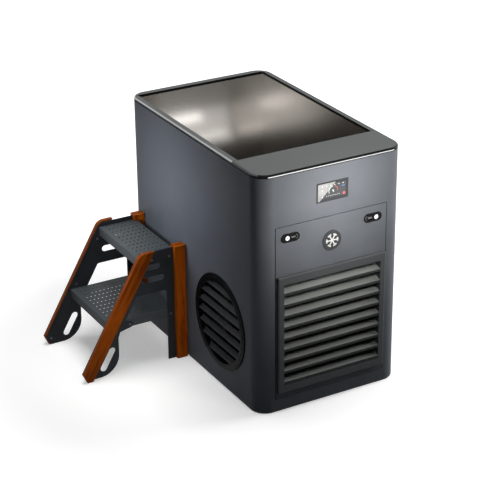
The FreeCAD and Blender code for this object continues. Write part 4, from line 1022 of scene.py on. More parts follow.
@dataclass
class Display:
    """The control display above the door, with its marks placed from its centre."""

    centre_height: float = DISPLAY_HEIGHT
    half: Spot = (73.5, 41.5)
    border: float = 5.0
    face: float = -560.0
    front: float = FRONT
    body_inset: float = 3.0
    body_back: float = -546.5
    bevel: float = 0.7
    rebate: float = 3.0
    glass_gap: float = 0.05
    field_limits: tuple[float, float, float] = (61.5, -27.5, 29.5)
    field_raise: float = 0.08
    # The corners of the pale patch that is painted glare on the glass, a painted reflection.
    glare_patch: tuple[Spot, ...] = ((-67.5, -35.5), (-60.0, -35.5), (14.5, 35.5), (-67.5, 35.5))
    glare_patch_raise: float = 0.14
    mark_raise: float = 0.25
    dot_first: Spot = (-47.5, 24.0)
    dot_pitch: float = 19.1
    dot_count: int = 6
    dot_radius: float = 1.7
    side_dots: tuple[Spot, ...] = ((-48.5, 8.6), (-48.5, -19.6))
    dash_centre: Spot = (49.0, 12.8)
    dash_size: Spot = (14.0, 2.6)
    gauge_centre: Spot = (3.0, -1.0)
    gauge_radius: float = 21.5
    gauge_width: float = 2.2
    cold_span: Spot = (95.0, 205.0)
    hot_span: Spot = (-8.0, 72.0)
    digit_half: Spot = (2.6, 5.0)
    digit_bar: float = 1.2
    tick_first: Spot = (-27.0, -19.0)
    tick_pitch: float = 8.3
    tick_count: int = 8
    tick_size: Spot = (4.0, 1.3)
    key_centre: Spot = (53.0, -20.0)
    key_size: Spot = (13.0, 12.0)

    def build(self) -> None:
        """Builds the bezel, the glass and the marks on it."""
        self.build_bezel()
        self.build_glass()
        self.build_marks()
        dress_node("display_housing", Finishes.plastic)

    def outline(self, inset: float) -> Outline:
        """Returns the bezel's outline set in by a distance."""
        return rectangle_about((0.0, self.centre_height), (self.half[0] - inset, self.half[1] - inset))

    def build_bezel(self) -> None:
        """Builds the bezel as a lofted frame with a body behind the sheet."""
        draft = Draft()
        draft.loft([
            (self.outline(0.0), self.front),
            (self.outline(0.0), self.face + self.bevel),
            (self.outline(self.bevel), self.face),
            (self.outline(self.border), self.face),
            (self.outline(self.border), self.face + self.rebate),
            (self.outline(self.border), self.body_back),
            (self.outline(self.body_inset), self.body_back),
            (self.outline(self.body_inset), self.front),
        ], Plane.FRONT, closed=True)
        draft.piece("display_bezel_frame", Body.TUB, Finishes.gloss, ["display_bezel"], rounding=0.25)

    def build_glass(self) -> None:
        """Builds the glass with its softened edge."""
        draft = Draft()
        inset = self.border + self.glass_gap
        back = self.face + self.rebate - self.glass_gap
        draft.block((-self.half[0] + inset, self.face, self.centre_height - self.half[1] + inset),
                    (self.half[0] - inset, back, self.centre_height + self.half[1] - inset))
        draft.piece("display_glass_pane", Body.TUB, Finishes.gloss, ["display_glass"], rounding=0.3)

    def build_marks(self) -> None:
        """Builds the lit field, a pale patch of painted glare, the indicator dots, the gauge and the keys."""
        self.mark("display_field", [rectangle(*self.field_limits)], Finishes.screen, self.field_raise)
        # The pale patch is painted glare, a painted reflection on the glass.
        self.mark("display_painted_glare", [list(self.glare_patch)], Finishes.screen_painted_glare, self.glare_patch_raise)
        spots = spot_row(self.dot_first, self.dot_pitch, self.dot_count) + list(self.side_dots)
        dots = [circle(spot, self.dot_radius, steps=16) for spot in spots]
        self.mark("display_dots", dots, Finishes.mark_white)
        self.mark("display_dash", [stadium(self.dash_centre, *self.dash_size)], Finishes.mark_blue)
        self.mark("display_gauge_cold", [self.gauge(*self.cold_span)], Finishes.mark_green)
        self.mark("display_gauge_hot", [self.gauge(*self.hot_span)], Finishes.mark_red)
        self.mark("display_number", self.digit(), Finishes.mark_white)
        spots = spot_row(self.tick_first, self.tick_pitch, self.tick_count)
        self.mark("display_ticks", [stadium(spot, *self.tick_size) for spot in spots], Finishes.mark_white)
        self.mark("display_key", [stadium(self.key_centre, *self.key_size)], Finishes.mark_red)

    def gauge(self, start: float, end: float) -> Outline:
        """Returns a stretch of the gauge's ring."""
        return ring_part(self.gauge_centre, (self.gauge_radius, self.gauge_radius - self.gauge_width),
                         (start, end), steps=20)

    def digit(self) -> list[Outline]:
        """Draws the digit five in bars at the gauge's centre.

        Returns:
            The outlines of its bars.
        """
        across, along = self.digit_half
        bars = [((0.0, along), 0.0), ((0.0, 0.0), 0.0), ((0.0, -along), 0.0),
                ((-across, along / 2), 90.0), ((across, -along / 2), 90.0)]
        outlines = []
        for spot, tilt in bars:
            centre = (self.gauge_centre[0] + spot[0], self.gauge_centre[1] + spot[1])
            outlines.append(stadium(centre, 2 * across, self.digit_bar, tilt, steps=4))
        return outlines

    def mark(self, name: str, outlines: Sequence[Outline], finish: Finish, lift: float = 0.0) -> None:
        """Builds thin marks on the glass.

        Args:
            name: The piece's name.
            outlines: The marks' outlines from the display's centre.
            finish: Their finish.
            lift: Their thickness where it isn't the usual one.
        """
        draft = Draft()
        for outline in outlines:
            placed = [(across, along + self.centre_height) for across, along in outline]
            draft.plate(placed, Plane.FRONT, (self.face, self.face - (lift or self.mark_raise)))
        draft.piece(name, Body.TUB, finish)


@dataclass
class ServiceDoor:
    """The tilting service door: a folded tray with its gasket and hinge pins."""

    half: float = 259.0
    bottom: float = 60.0
    top: float = 819.0
    front: float = FRONT
    depth: float = 18.0
    sheet: float = 2.0
    grille_half: float = 231.3
    grille_low: float = 119.7
    grille_high: float = 576.3
    latch_x: float = LATCH_X
    latch_z: float = LATCH_Z
    latch_hole: Spot = (77.6, 30.6)

    def build(self) -> None:
        """Builds the pierced tray and dresses the gasket and the hinge pins."""
        draft = Draft()
        border = draft.loop(rectangle(self.half, self.bottom, self.top), Plane.FRONT, self.front)
        grille = rectangle(self.grille_half, self.grille_low, self.grille_high)
        holes = draft.loop(grille, Plane.FRONT, self.front)
        for side in Side:
            oval = stadium((side.value * self.latch_x, self.latch_z), *self.latch_hole)
            holes += draft.loop(oval, Plane.FRONT, self.front)
        draft.fill(border + holes, Plane.FRONT)
        draft.push_edges(border, Vector((0.0, self.depth, 0.0)))
        draft.piece("door_tray", Body.DOOR, Finishes.casing, ["service_door"], wall=self.sheet, rounding=1.0)
        dress_node("door_gasket", Finishes.rubber)
        smooth_copy("hinge_pins", Body.TUB, Finishes.lock)


@dataclass(frozen=True)
class BladeFold:
    """The fold of a louvre blade: how far it runs in, how much it drops, its lip and its sheet."""

    depth: float
    drop: float
    lip: float
    sheet: float = 2.0

    def section(self, outer: float, top: float) -> Outline:
        """Draws the section of a blade.

        Args:
            outer: Where the blade's lip stands.
            top: The height of its inner edge.

        Returns:
            The section's outline.
        """
        fold = top - self.drop
        under = self.sheet * math.hypot(1.0, self.drop / self.depth)
        return [
            (outer, fold - self.lip),
            (outer + self.sheet, fold - self.lip),
            (outer + self.sheet, fold - under + self.drop * self.sheet / self.depth),
            (outer + self.depth, top - under),
            (outer + self.depth, top),
            (outer, fold),
        ]


@dataclass
class Grille:
    """The raised grille frame and its louvre blades."""

    half: float = 254.0
    bottom: float = 87.0
    top: float = 609.0
    front: float = FRONT
    face: float = -573.5
    chamfer: float = 4.0
    open_half: float = 228.0
    open_low: float = 123.0
    open_high: float = 573.0
    collar: float = 3.0
    collar_back: float = -528.5
    blade_count: int = 9
    blade_first_top: float = 150.0
    blade_pitch: float = 50.0
    blade_setback: float = 1.0
    blade: BladeFold = BladeFold(depth=43.0, drop=12.5, lip=12.0)
    blade_upward: float = 0.8

    def build(self) -> None:
        """Builds the frame and the blades."""
        self.build_frame()
        self.build_blades()

    def outer(self, inset: float) -> Outline:
        """Returns the frame's outer outline set in by a distance."""
        return rectangle(self.half - inset, self.bottom + inset, self.top - inset)

    def opening(self, outset: float) -> Outline:
        """Returns the opening's outline set out by a distance."""
        return rectangle(self.open_half + outset, self.open_low - outset, self.open_high + outset)

    def build_frame(self) -> None:
        """Builds the mitred frame with its chamfer and the collar through the door."""
        draft = Draft()
        draft.loft([
            (self.outer(0.0), self.front),
            (self.outer(0.0), self.face + self.chamfer),
            (self.outer(self.chamfer), self.face),
            (self.opening(0.0), self.face),
            (self.opening(0.0), self.collar_back),
            (self.opening(self.collar), self.collar_back),
            (self.opening(self.collar), self.front),
        ], Plane.FRONT, closed=True)
        draft.piece("grille_surround", Body.DOOR, Finishes.louvre, ["grille_frame"], rounding=0.6)

    def build_blades(self) -> None:
        """Builds the folded blades, whose lips are painted shade, and paints their upper faces, whose normals
        point well upwards, lighter as painted light.
        """
        draft = Draft()
        outer = self.face + self.blade_setback
        for index in range(self.blade_count):
            section = self.blade.section(outer, self.blade_first_top + index * self.blade_pitch)
            draft.plate(section, Plane.SIDE, (-self.open_half, self.open_half))
        # The upper faces get the lit copy of the paint as painted light; the lips keep the shaded copy as
        # painted shade.
        draft.coat(Finishes.louvre_face_painted_light, lambda out, _: out.z > self.blade_upward)
        draft.piece("grille_blades", Body.DOOR, Finishes.louvre_lip_painted_shade, ["grille_louvres"], rounding=0.5)


@dataclass
class Badge:
    """The round badge on the door, with a plain snowflake."""

    centre: Spot = (0.0, 714.0)
    radius: float = 43.5
    front: float = FRONT
    thickness: float = 4.0
    chamfer: float = 1.0
    rim: float = 3.5
    recess: float = 0.6
    recess_slope: float = 0.4
    side_share: float = 0.5
    arm: float = 30.0
    arm_width: float = 5.0
    arm_step: int = 60
    twig: float = 11.0
    twig_place: float = 0.68
    twig_lean: float = 50.0

    def build(self) -> None:
        """Builds the disc with its raised rim and the snowflake in it."""
        face = self.front - self.thickness
        draft = Draft()
        draft.lathe([
            (0.0, self.front), (self.radius, self.front), (self.radius, face + self.chamfer),
            (self.radius - self.chamfer, face), (self.radius - self.rim, face),
            (self.radius - self.rim - self.recess_slope, face + self.recess), (0.0, face + self.recess),
        ], Plane.FRONT, self.centre, steps=72)
        draft.coat(Finishes.gloss, lambda out, _: abs(out.y) < self.side_share)
        draft.piece("badge_disc", Body.DOOR, Finishes.badge, ["door_badge"])
        draft = Draft()
        for turn in range(0, 360, self.arm_step):
            self.draw_arm(draft, turn, (face + self.recess, face))
        draft.piece("badge_snowflake", Body.DOOR, Finishes.snowflake)

    def draw_arm(self, draft: Draft, turn: float, levels: Spot) -> None:
        """Adds one arm of the snowflake with its two twigs.

        Args:
            draft: The snowflake's mesh.
            turn: The arm's direction in degrees.
            levels: The levels of its back and its face.
        """
        bars = [(self.arm / 2, self.arm, 0.0)]
        bars += [(self.arm * self.twig_place, self.twig, lean) for lean in (self.twig_lean, -self.twig_lean)]
        way = Vector((math.cos(math.radians(turn)), math.sin(math.radians(turn))))
        for reach, length, lean in bars:
            tilt = math.radians(turn + lean)
            middle = way * reach
            if lean:
                middle = middle + Vector((math.cos(tilt), math.sin(tilt))) * (length / 2)
            spot = (self.centre[0] + middle.x, self.centre[1] + middle.y)
            draft.plate(stadium(spot, length, self.arm_width, turn + lean, steps=5), Plane.FRONT, levels)


@dataclass
class Latch:
    """An oval latch housing with its finger grip, and the quarter-turn lock in it."""

    side: Side
    centre_x: float = LATCH_X
    centre_z: float = LATCH_Z
    length: float = 85.0
    width: float = 38.0
    front: float = FRONT
    raised: float = 3.0
    lip: float = 4.0
    body_back: float = -545.0
    grip_offset: float = 18.5
    grip_length: float = 36.0
    grip_width: float = 20.0
    pull_offset: float = 5.0
    pull_size: Spot = (20.0, 7.0)
    pull_raised: float = 2.6
    ring_offset: float = 8.0
    ring_radii: Spot = (8.6, 6.4)
    ring_raised: float = 2.0
    lock_offset: float = 14.5
    lock_radius: float = 9.5
    lock_raised: float = 2.0
    lock_gap: float = 0.1
    slot_half: Spot = (1.0, 4.5)
    slot_depth: float = 1.5
    cam_front: float = -536.5
    cam_back: float = -533.5
    cam_reach: float = 68.0
    cam_width: float = 16.0
    cam_round: float = 3.0
    lock_facets: int = 40

    def build(self) -> None:
        """Builds the housing, the pull in its grip and the lock."""
        name = self.side.name.lower()
        self.build_housing(name)
        self.build_pull(name)
        self.build_lock(name)

    def place(self, offset: float) -> Spot:
        """Returns a spot on the latch's long axis, counted outwards from its centre."""
        return (self.side.value * (self.centre_x + offset), self.centre_z)

    def build_housing(self, name: str) -> None:
        """Builds the pierced oval face and the body behind it."""
        draft = Draft()
        bore = circle(self.place(self.lock_offset), self.lock_radius + self.lock_gap)
        grip = stadium(self.place(-self.grip_offset), self.grip_length, self.grip_width)
        face = self.front - self.raised
        oval = stadium(self.place(0.0), self.length, self.width, steps=16)
        body = stadium(self.place(0.0), self.length - 2 * self.lip, self.width - 2 * self.lip, steps=16)
        draft.plate(oval, Plane.FRONT, (self.front, face), [bore, grip])
        draft.plate(body, Plane.FRONT, (self.body_back, self.front), [bore])
        node = "latch_housing_" + name
        draft.piece(node + "_shell", Body.DOOR, Finishes.latch, [node], rounding=0.7)

    def build_pull(self, name: str) -> None:
        """Builds the bar across the grip and the half ring at its inner end."""
        draft = Draft()
        centre = self.place(self.pull_offset - self.grip_offset)
        pull = stadium(centre, *self.pull_size)
        draft.plate(pull, Plane.FRONT, (self.front, self.front - self.pull_raised))
        # The pull bar's grey is a painted highlight along the grip; the half ring below gets the same grey.
        draft.piece("latch_pull_" + name, Body.DOOR, Finishes.grip_painted_highlight, rounding=0.5)
        draft = Draft()
        start = 90.0 if self.side is Side.RIGHT else -90.0
        half_ring = ring_part(self.place(-self.grip_offset - self.ring_offset), self.ring_radii,
                              (start, start + 180.0), steps=16)
        draft.plate(half_ring, Plane.FRONT, (self.front, self.front - self.ring_raised))
        draft.piece("latch_ring_" + name, Body.DOOR, Finishes.grip_painted_highlight, rounding=0.3)

    def build_lock(self, name: str) -> None:
        """Builds the lock barrel with its key slot and the cam behind the door."""
        draft = Draft()
        face = self.front - self.raised - self.lock_raised
        centre = self.place(self.lock_offset)
        slot = rectangle_about(centre, self.slot_half)
        barrel = circle(centre, self.lock_radius, self.lock_facets)
        draft.plate(barrel, Plane.FRONT, (face + self.slot_depth, face), [slot])
        draft.plate(barrel, Plane.FRONT, (self.cam_back, face + self.slot_depth))
        draft.rounded_block((centre[0] - self.cam_width / 2, self.cam_front, centre[1] - self.cam_reach),
                            (centre[0] + self.cam_width / 2, self.cam_back, centre[1]),
                            Plane.FRONT, self.cam_round, segments=4)
        body = Body.LOCK_LEFT if self.side is Side.LEFT else Body.LOCK_RIGHT
        draft.piece("lock_barrel_" + name, body, Finishes.lock, ["latch_lock_" + name], rounding=0.4)


@dataclass
class Vent:
    """The round vent in the left side: a stepped ring and seven sloping blades.

    Each spot of the ring's three edges is its distance from the edge's radius and its depth behind the face.
    """

    centre: Spot = VENT_CENTRE
    outer_radius: float = 210.0
    inner_radius: float = 180.0
    wall_x: float = -HALF_WIDTH
    face_x: float = -347.0
    collar_x: float = -325.0
    collar_wall: float = 5.0
    outer_edge: tuple[Spot, ...] = ((0.0, 4.6), (-1.4, 2.6), (-3.4, 1.6))
    step_edge: tuple[Spot, ...] = ((2.0, 1.6), (0.6, 0.0))
    inner_edge: tuple[Spot, ...] = ((3.0, 0.0), (0.8, 0.8), (0.0, 3.0))
    ring_facets: int = 128
    blade_count: int = 7
    blade_first_top: float = 454.0
    blade_pitch: float = 50.0
    blade_outer: float = -343.0
    blade: BladeFold = BladeFold(depth=18.0, drop=13.0, lip=3.0)
    blade_radius: float = 179.7
    blade_start_half: float = 1.0
    slope_cuts: int = 5

    def build(self) -> None:
        """Builds the ring and the blades."""
        self.build_ring()
        self.build_blades()

    def build_ring(self) -> None:
        """Spins the stepped ring with its collar through the wall."""
        middle = (self.outer_radius + self.inner_radius) / 2
        collar = self.inner_radius + self.collar_wall
        profile = [(collar, self.wall_x), (self.outer_radius, self.wall_x)]
        for radius, edge in ((self.outer_radius, self.outer_edge), (middle, self.step_edge),
                             (self.inner_radius, self.inner_edge)):
            profile += [(radius + outward, self.face_x + depth) for outward, depth in edge]
        profile += [(self.inner_radius, self.collar_x), (collar, self.collar_x)]
        draft = Draft()
        draft.lathe(profile + profile[:1], Plane.SIDE, self.centre, self.ring_facets)
        draft.piece("vent_surround", Body.TUB, Finishes.vent_gloss, ["vent_ring"], rounding=0.4)

    def build_blades(self) -> None:
        """Builds the blades and brings their ends onto the ring's bore."""
        draft = Draft()
        middle = self.centre[0]
        for index in range(self.blade_count):
            section = self.blade.section(self.blade_outer, self.blade_first_top - index * self.blade_pitch)
            start = (middle - self.blade_start_half, middle + self.blade_start_half)
            draft.plate(section, Plane.FRONT, start)
        slopes = draft.edges_among(draft.mesh.verts, lambda start, end: abs(start.y - end.y) < LEVEL_GAP
                                   and abs(start.z - end.z) > self.blade.drop / 2)
        bmesh.ops.subdivide_edges(draft.mesh, edges=slopes, cuts=self.slope_cuts)
        for vert in draft.mesh.verts:
            reach = math.sqrt(self.blade_radius ** 2 - (vert.co.z - self.centre[1]) ** 2)
            vert.co.y = middle + math.copysign(reach, vert.co.y - middle)
        draft.piece("vent_louvres", Body.TUB, Finishes.vent_blade, ["vent_blades"], rounding=0.4)


@dataclass(frozen=True)
class Tread:
    """A tread of the stool: its height, its rear edge's place, its depth and its columns of holes."""

    name: str
    height: float
    rear: float
    depth: float
    columns: int


@dataclass
class Stool:
    """The two-step stool: plates, wooden rails and posts, perforated treads and bolts."""

    rear: float = -344.0
    near_plate: Spot = (66.0, 70.0)
    far_plate: Spot = (452.0, 456.0)
    wood: float = 18.5
    post_width: float = 50.0
    post_height: float = 534.0
    rail_foot: float = 453.0
    rail_width: float = 57.7
    rail_angle: float = 60.0
    rail_round: float = 45.0
    toe_height: float = 40.0
    toe_cut: float = 18.0
    plate_rear: float = 2.0
    plate_front_inset: float = 4.0
    plate_height: float = 528.0
    plate_round: float = 40.0
    leg_margin: float = 27.0
    rear_leg: float = 85.0
    arch_height: float = 337.0
    arch_round: float = 12.0
    heel_reach: float = 319.0
    heel_radius: float = 92.0
    heel_height: float = 165.0
    heel_slope: Spot = (9.0, 26.0)
    tab: Spot = (263.0, 218.0)
    tab_radius: float = 16.0
    tab_root: float = 22.0
    grip_slots: tuple[tuple[Spot, float, float], ...] = (((151.0, 457.0), 80.0, 28.0),
                                                         ((148.0, 401.0), 112.0, 28.0))
    heel_slot: tuple[Spot, float, float] = ((372.5, 77.0), 114.0, 30.0)
    treads: tuple[Tread, ...] = (Tread("upper", 508.0, 36.0, 177.0, 8),
                                 Tread("lower", 244.0, 52.0, 312.0, 15))
    tread_sheet: float = 2.5
    tread_flange: float = 40.0
    hole_radius: float = 4.0
    hole_pitch: Spot = (19.3, 32.7)
    hole_front: float = 30.0
    hole_rows: int = 12
    hole_facets: int = 10
    bolt_head: Spot = (5.0, 3.0)
    bolt_sink: float = 0.5
    bolt_dome: tuple[Spot, ...] = ((1.0, 0.4), (0.75, 0.85), (0.5, 1.0), (0.5, 0.5), (0.0, 0.5))
    bolt_facets: int = 14
    tread_bolts: tuple[Spot, ...] = ((69.0, 490.0), (150.0, 490.0), (69.0, 218.0), (263.0, 218.0))
    rail_bolts: tuple[float, ...] = (30.0, 264.0, 455.0)
    post_bolts: tuple[Spot, ...] = ((25.0, 60.0), (25.0, 505.0))

    def build(self) -> None:
        """Builds every piece of the stool."""
        near_low, near_high = self.near_plate
        far_low, far_high = self.far_plate
        strips = {"near": (near_low - self.wood, near_high), "far": (far_high, far_low - self.wood)}
        for name, plate in (("near", self.near_plate), ("far", self.far_plate)):
            self.build_plate(name, plate)
            self.build_rail(name, strips[name][0])
            self.build_post(name, strips[name])
        for tread in self.treads:
            self.build_tread(tread)
        self.build_bolts()

    def slope_depth(self, height: float, across: float) -> float:
        """Returns the depth of a line along the rail, set square from its rear edge, at a height."""
        lean = math.radians(self.rail_angle)
        return self.rail_foot - height / math.tan(lean) + across / math.sin(lean)

    def placed(self, outline: Iterable[Spot]) -> Outline:
        """Returns an outline given by depths and heights in the tub's frame."""
        return [(self.rear - depth, height) for depth, height in outline]

    def build_plate(self, name: str, levels: Spot) -> None:
        """Builds a side plate with its arch, heel, tab and hand slots.

        Args:
            name: The plate's side.
            levels: Its two faces along Y.
        """
        front_line = self.rail_width - self.plate_front_inset
        root = self.tab[1] + self.tab_root
        heel_centre = self.heel_reach + self.heel_radius
        top = (self.slope_depth(self.plate_height, front_line), self.plate_height)
        toe = (self.slope_depth(self.toe_height, front_line), self.toe_height)
        tab_top = (self.slope_depth(root, -self.leg_margin), root)
        arch_front = (self.slope_depth(self.arch_height, -self.leg_margin), self.arch_height)
        arch_rear = (self.rear_leg, self.arch_height)
        outline = arc((heel_centre, self.heel_radius), self.heel_radius, 270.0, 180.0, steps=14)
        outline += [
            (self.heel_reach, self.heel_height),
            (self.heel_reach - self.heel_slope[0], self.heel_height + self.heel_slope[1]),
        ]
        outline += arc(self.tab, self.tab_radius, 270.0, 90.0, steps=12)
        outline.append(tab_top)
        outline += rounded_corner(tab_top, arch_front, arch_rear, self.arch_round)
        outline += rounded_corner(arch_front, arch_rear, (self.rear_leg, 0.0), self.arch_round)
        outline += [(self.rear_leg, 0.0), (self.plate_rear, 0.0), (self.plate_rear, self.plate_height)]
        outline += rounded_corner((self.plate_rear, self.plate_height), top, toe, self.plate_round)
        outline += [toe, (toe[0] - self.toe_cut, 0.0)]
        holes = [stadium(*slot) for slot in self.grip_slots]
        holes.append(stadium(*self.heel_slot, 180.0 - self.rail_angle))
        draft = Draft()
        draft.plate(self.placed(outline), Plane.FRONT, levels, [self.placed(hole) for hole in holes])
        node = "step_side_" + name
        draft.piece(node + "_plate", Body.STOOL, Finishes.stool, [node], rounding=0.5)

    def build_rail(self, name: str, level: float) -> None:
        """Builds a sloping wooden rail.

        Args:
            name: The rail's side.
            level: Where it begins along Y.
        """
        toe = (self.slope_depth(self.toe_height, self.rail_width), self.toe_height)
        top_front = (self.slope_depth(self.post_height, self.rail_width), self.post_height)
        top_rear = (self.slope_depth(self.post_height, 0.0), self.post_height)
        outline = [(toe[0] - self.toe_cut, 0.0), (self.rail_foot, 0.0), top_rear]
        outline += rounded_corner(top_rear, top_front, toe, self.rail_round, steps=12)
        outline.append(toe)
        draft = Draft()
        draft.plate(self.placed(outline), Plane.FRONT, (level, level + self.wood))
        node = "step_rail_" + name
        # The rails get the darker copy of the wood as painted shade.
        draft.piece(node + "_wood", Body.STOOL, Finishes.rail_wood_painted_shade, [node], rounding=2.0, segments=3)

    def build_post(self, name: str, levels: Spot) -> None:
        """Builds a rear post of two wooden strips.

        Args:
            name: The post's side.
            levels: Where each strip begins along Y.
        """
        draft = Draft()
        for level in levels:
            draft.block((self.rear - self.post_width, level, 0.0),
                        (self.rear, level + self.wood, self.post_height))
        node = "step_post_" + name
        # The posts get the lighter copy of the wood as painted light.
        draft.piece(node + "_wood", Body.STOOL, Finishes.post_wood_painted_light, [node], rounding=2.0, segments=3)

    def build_tread(self, tread: Tread) -> None:
        """Builds a perforated tread as a folded tray.

        Args:
            tread: The tread's sizes.
        """
        low_y, high_y = self.near_plate[1], self.far_plate[0]
        front_x, rear_x = self.rear - tread.rear - tread.depth, self.rear - tread.rear
        notch_x = min(self.rear - self.post_width - self.bolt_head[1], rear_x)
        notch = self.wood + self.bolt_head[1]
        outline = [(front_x, low_y), (notch_x, low_y), (notch_x, low_y + notch), (rear_x, low_y + notch),
                   (rear_x, high_y - notch), (notch_x, high_y - notch), (notch_x, high_y), (front_x, high_y)]
        draft = Draft()
        border = draft.loop(outline, Plane.TOP, tread.height)
        first_x = front_x + self.hole_front
        first_y = (low_y + high_y - self.hole_pitch[1] * (self.hole_rows - 1)) / 2
        wires = []
        for column in range(tread.columns):
            for row in range(self.hole_rows):
                spot = (first_x + column * self.hole_pitch[0], first_y + row * self.hole_pitch[1])
                wires += draft.loop(circle(spot, self.hole_radius, self.hole_facets), Plane.TOP, tread.height)
        draft.fill(border + wires, Plane.TOP)
        draft.push_edges(border, Vector((0.0, 0.0, -self.tread_flange)))
        node = "step_tread_" + tread.name
        draft.piece(node + "_tray", Body.STOOL, Finishes.tread, [node], wall=self.tread_sheet, rounding=0.8)

    def build_bolts(self) -> None:
        """Builds the round-headed bolts."""
        draft = Draft()
        rail_spots = [(self.slope_depth(height, self.rail_width / 2), height) for height in self.rail_bolts]
        for (low, high), inward in ((self.near_plate, 1.0), (self.far_plate, -1.0)):
            outer, inner = (low, high) if inward > 0 else (high, low)
            rows = [(self.tread_bolts, outer, -inward), (rail_spots, inner, inward),
                    (self.post_bolts, inner + inward * self.wood, inward)]
            for spots, face, out in rows:
                for spot in self.placed(spots):
                    self.draw_head(draft, spot, face, out)
        draft.piece("step_bolt_heads", Body.STOOL, Finishes.bolt, ["step_bolts"])

    def draw_head(self, draft: Draft, spot: Spot, face: float, out: float) -> None:
        """Adds a domed bolt head with a socket.

        Args:
            draft: The bolts' mesh.
            spot: The bolt's place in X and Z.
            face: The face it sits on.
            out: The way it stands out along Y.
        """
        radius, height = self.bolt_head
        profile = [(0.0, -self.bolt_sink), (radius, -self.bolt_sink)]
        profile += [(radius * across, height * along) for across, along in self.bolt_dome]
        draft.lathe([(reach, face + out * level) for reach, level in profile], Plane.FRONT, spot,
                    self.bolt_facets)


@dataclass
class Machinery:
    """The chiller, the water circuit and the structure inside the casing."""

    def build(self) -> None:
        """Dresses the pieces inside the casing."""
        # The fan's shroud, motor and rotor get the near-black fan finish, partly painted shade seen through
        # the vent.
        for node, finish in (("insulation_boards", Finishes.foam), ("inner_frame", Finishes.frame),
                             ("fan_shroud", Finishes.fan), ("control_box", Finishes.plastic)):
            dress_node(node, finish)
        rounded = {
            "fan_motor": Finishes.fan, "condenser_core": Finishes.fins, "compressor": Finishes.frame,
            "heat_exchanger": Finishes.frame, "refrigerant_lines": Finishes.copper,
            "circulation_pump": Finishes.plastic, "filter_head": Finishes.plastic,
            "filter_bowl": Finishes.filter_blue, "water_hoses": Finishes.rubber, "drain_valve": Finishes.lock,
            "power_inlet": Finishes.plastic,
        }
        for node, finish in rounded.items():
            smooth_copy(node, Body.TUB, finish)
        smooth_copy("fan_rotor", Body.FAN, Finishes.fan)
        smooth_copy("drain_lever", Body.LEVER, Finishes.lever)


# Stage, light and camera

@dataclass(frozen=True)
class AreaLamp:
    """A soft box that points at a spot, in metres."""

    name: str
    place: Point
    aim: Point
    size: Spot
    power: float
    spread: float = 180.0
    tint: Colour = (1.0, 1.0, 1.0)

    def build(self) -> None:
        """Adds the lamp to the scene."""
        data = bpy.data.lights.new(self.name, "AREA")
        data.shape = "RECTANGLE"
        data.size, data.size_y = self.size
        data.energy = self.power
        data.color = self.tint
        data.spread = math.radians(self.spread)
        lamp = add_object(self.name, data)
        lamp.location = self.place
        lamp.rotation_euler = (Vector(self.aim) - Vector(self.place)).to_track_quat("-Z", "Y").to_euler()
        lamp.visible_camera = False


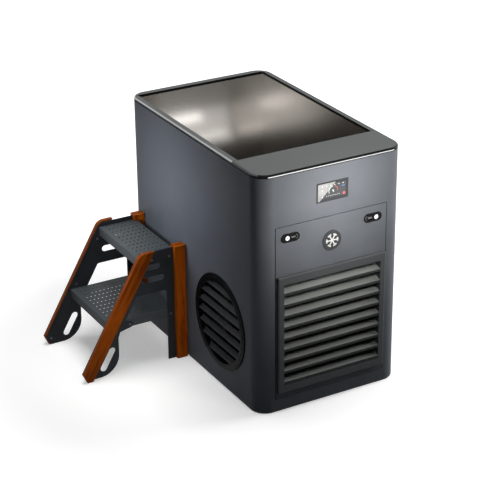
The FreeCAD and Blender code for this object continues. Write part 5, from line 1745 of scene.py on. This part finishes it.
@dataclass
class Studio:
    """The pale floor, the soft light and the camera, in metres."""

    floor_half: float = 14.0
    shadow_level: float = 0.33
    shadow_reach: Spot = (1.1, 2.2)
    floor_white: float = 0.9
    floor_bounce: float = 0.12
    world_level: float = 0.0
    lamps: tuple[AreaLamp, ...] = (
        AreaLamp("overhead_lamp", (0.0, 0.1, 7.0), (0.0, 0.1, 0.0), (3.5, 3.5), 350.0),
        AreaLamp("front_lamp", (0.01, -1.1, 1.08), (0.02, -0.56, 0.90), (0.3, 0.3), 2.65, 94.0,
                 (1.03, 1.0, 0.95)),
        AreaLamp("left_lamp", (-1.05, 0.20, 0.91), (-0.34, 0.17, 0.69), (0.3, 0.3), 1.28, 90.0,
                 (0.96, 1.0, 1.08)),
        AreaLamp("right_lamp", (2.0, -0.8, 1.3), (0.34, -0.3, 0.8), (1.0, 1.0), 40.0),
        AreaLamp("stool_lamp", (-1.3, -1.6, 0.8), (-0.6, 0.15, 0.25), (0.4, 0.4), 0.5, 30.0),
        AreaLamp("basin_top_lamp", (0.11, 0.225, 0.88), (0.11, 1.06, 1.226), (0.39, 0.14), 0.024),
        AreaLamp("basin_wall_lamp", (0.0425, 0.23, 0.715), (0.0425, 1.065, 1.061), (0.525, 0.17), 0.178),
        AreaLamp("basin_strip_lamp", (0.06, 0.235, 0.775), (0.06, 1.07, 1.121), (0.18, 0.035), 0.037),
        AreaLamp("basin_line_lamp", (0.20, 0.24, 0.672), (0.20, 1.075, 1.018), (0.16, 0.02), 0.011),
        AreaLamp("basin_corner_lamp", (-0.06, 0.05, 0.70), (0.42, 0.86, 1.04), (0.30, 0.25), 0.014, 80.0),
    )
    camera_place: Point = (-3.2282, -5.5890, 3.4397)
    camera_yaw: float = -29.5693
    camera_pitch: float = 24.8745
    camera_roll: float = -0.4660
    lens: float = 118.7614
    sensor: float = 36.0
    clip_end: float = 100.0

    def build(self) -> None:
        """Builds the stage."""
        self.build_floor()
        self.build_world()
        for lamp in self.lamps:
            lamp.build()
        self.build_camera()
        bpy.context.scene.view_settings.view_transform = "Standard"

    def seen_directly(self, graph: Graph) -> Socket:
        """Wires the mask of rays that show the background.

        Args:
            graph: The graph to wire it in.

        Returns:
            The mask's socket.
        """
        rays = graph.add("ShaderNodeLightPath").outputs
        direct = graph.calc("MAXIMUM", rays["Is Camera Ray"], rays["Is Glossy Ray"])
        return graph.calc("MAXIMUM", direct, rays["Is Transmission Ray"])

    def build_floor(self) -> None:
        """Builds the floor, which shows white and keeps the object's shadow."""
        mesh = bmesh.new()
        bmesh.ops.create_grid(mesh, x_segments=1, y_segments=1, size=self.floor_half)
        floor = add_mesh("floor", mesh)
        material = bpy.data.materials.new("studio_floor")
        material.use_nodes = True
        graph = Graph(material.node_tree)
        matt = graph.add("ShaderNodeBsdfDiffuse", {"Color": (*[self.floor_white] * 3, 1.0)})
        reach = graph.add("ShaderNodeVectorMath", {0: graph.object_place()}, operation="LENGTH")
        level = graph.spread(reach.outputs["Value"], self.shadow_reach, (self.shadow_level, 1.0))
        white = graph.add("ShaderNodeEmission", {"Color": (1.0, 1.0, 1.0, 1.0), "Strength": level})
        shown = graph.add("ShaderNodeAddShader", {0: white.outputs[0], 1: matt.outputs[0]})
        dim = graph.add("ShaderNodeBsdfDiffuse", {"Color": (*[self.floor_bounce] * 3, 1.0)})
        seen = self.seen_directly(graph)
        mixed = graph.add("ShaderNodeMixShader", {0: seen, 1: dim.outputs[0], 2: shown.outputs[0]})
        graph.add("ShaderNodeOutputMaterial", {"Surface": mixed.outputs[0]})
        floor.data.materials.append(material)

    def build_world(self) -> None:
        """Builds the world, white where it is seen and dark where it would light."""
        world = bpy.data.worlds.new("studio")
        bpy.context.scene.world = world
        world.use_nodes = True
        graph = Graph(world.node_tree)
        level = graph.spread(self.seen_directly(graph), (0.0, 1.0), (self.world_level, 1.0))
        sky = graph.add("ShaderNodeBackground", {"Color": (1.0, 1.0, 1.0, 1.0), "Strength": level})
        graph.add("ShaderNodeOutputWorld", {"Surface": sky.outputs[0]})

    def build_camera(self) -> None:
        """Builds the camera at the photograph's viewing angle."""
        turns = (self.camera_yaw, self.camera_pitch, self.camera_roll)
        yaw, pitch, roll = (math.radians(turn) for turn in turns)
        back = Vector((math.sin(yaw) * math.cos(pitch), -math.cos(yaw) * math.cos(pitch), math.sin(pitch)))
        right = Vector((0.0, 0.0, 1.0)).cross(back).normalized()
        up = back.cross(right)
        turned_right = right * math.cos(roll) + up * math.sin(roll)
        turned_up = up * math.cos(roll) - right * math.sin(roll)
        data = bpy.data.cameras.new("camera")
        data.lens = self.lens
        data.sensor_width = self.sensor
        data.clip_end = self.clip_end
        camera = add_object("camera", data)
        camera.matrix_world = Matrix.Translation(self.camera_place) @ Matrix(
            (turned_right, turned_up, back)).transposed().to_4x4()
        bpy.context.scene.camera = camera


def main() -> None:
    """Builds the stage and every sub-assembly."""
    logging.basicConfig(level=logging.INFO, format="%(message)s")
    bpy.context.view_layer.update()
    Studio().build()
    Casing().build()
    RimRing().build()
    Basin().build()
    Display().build()
    ServiceDoor().build()
    Grille().build()
    Badge().build()
    for side in Side:
        Latch(side).build()
    Vent().build()
    Machinery().build()
    Stool().build()


if __name__ == "__main__":
    main()
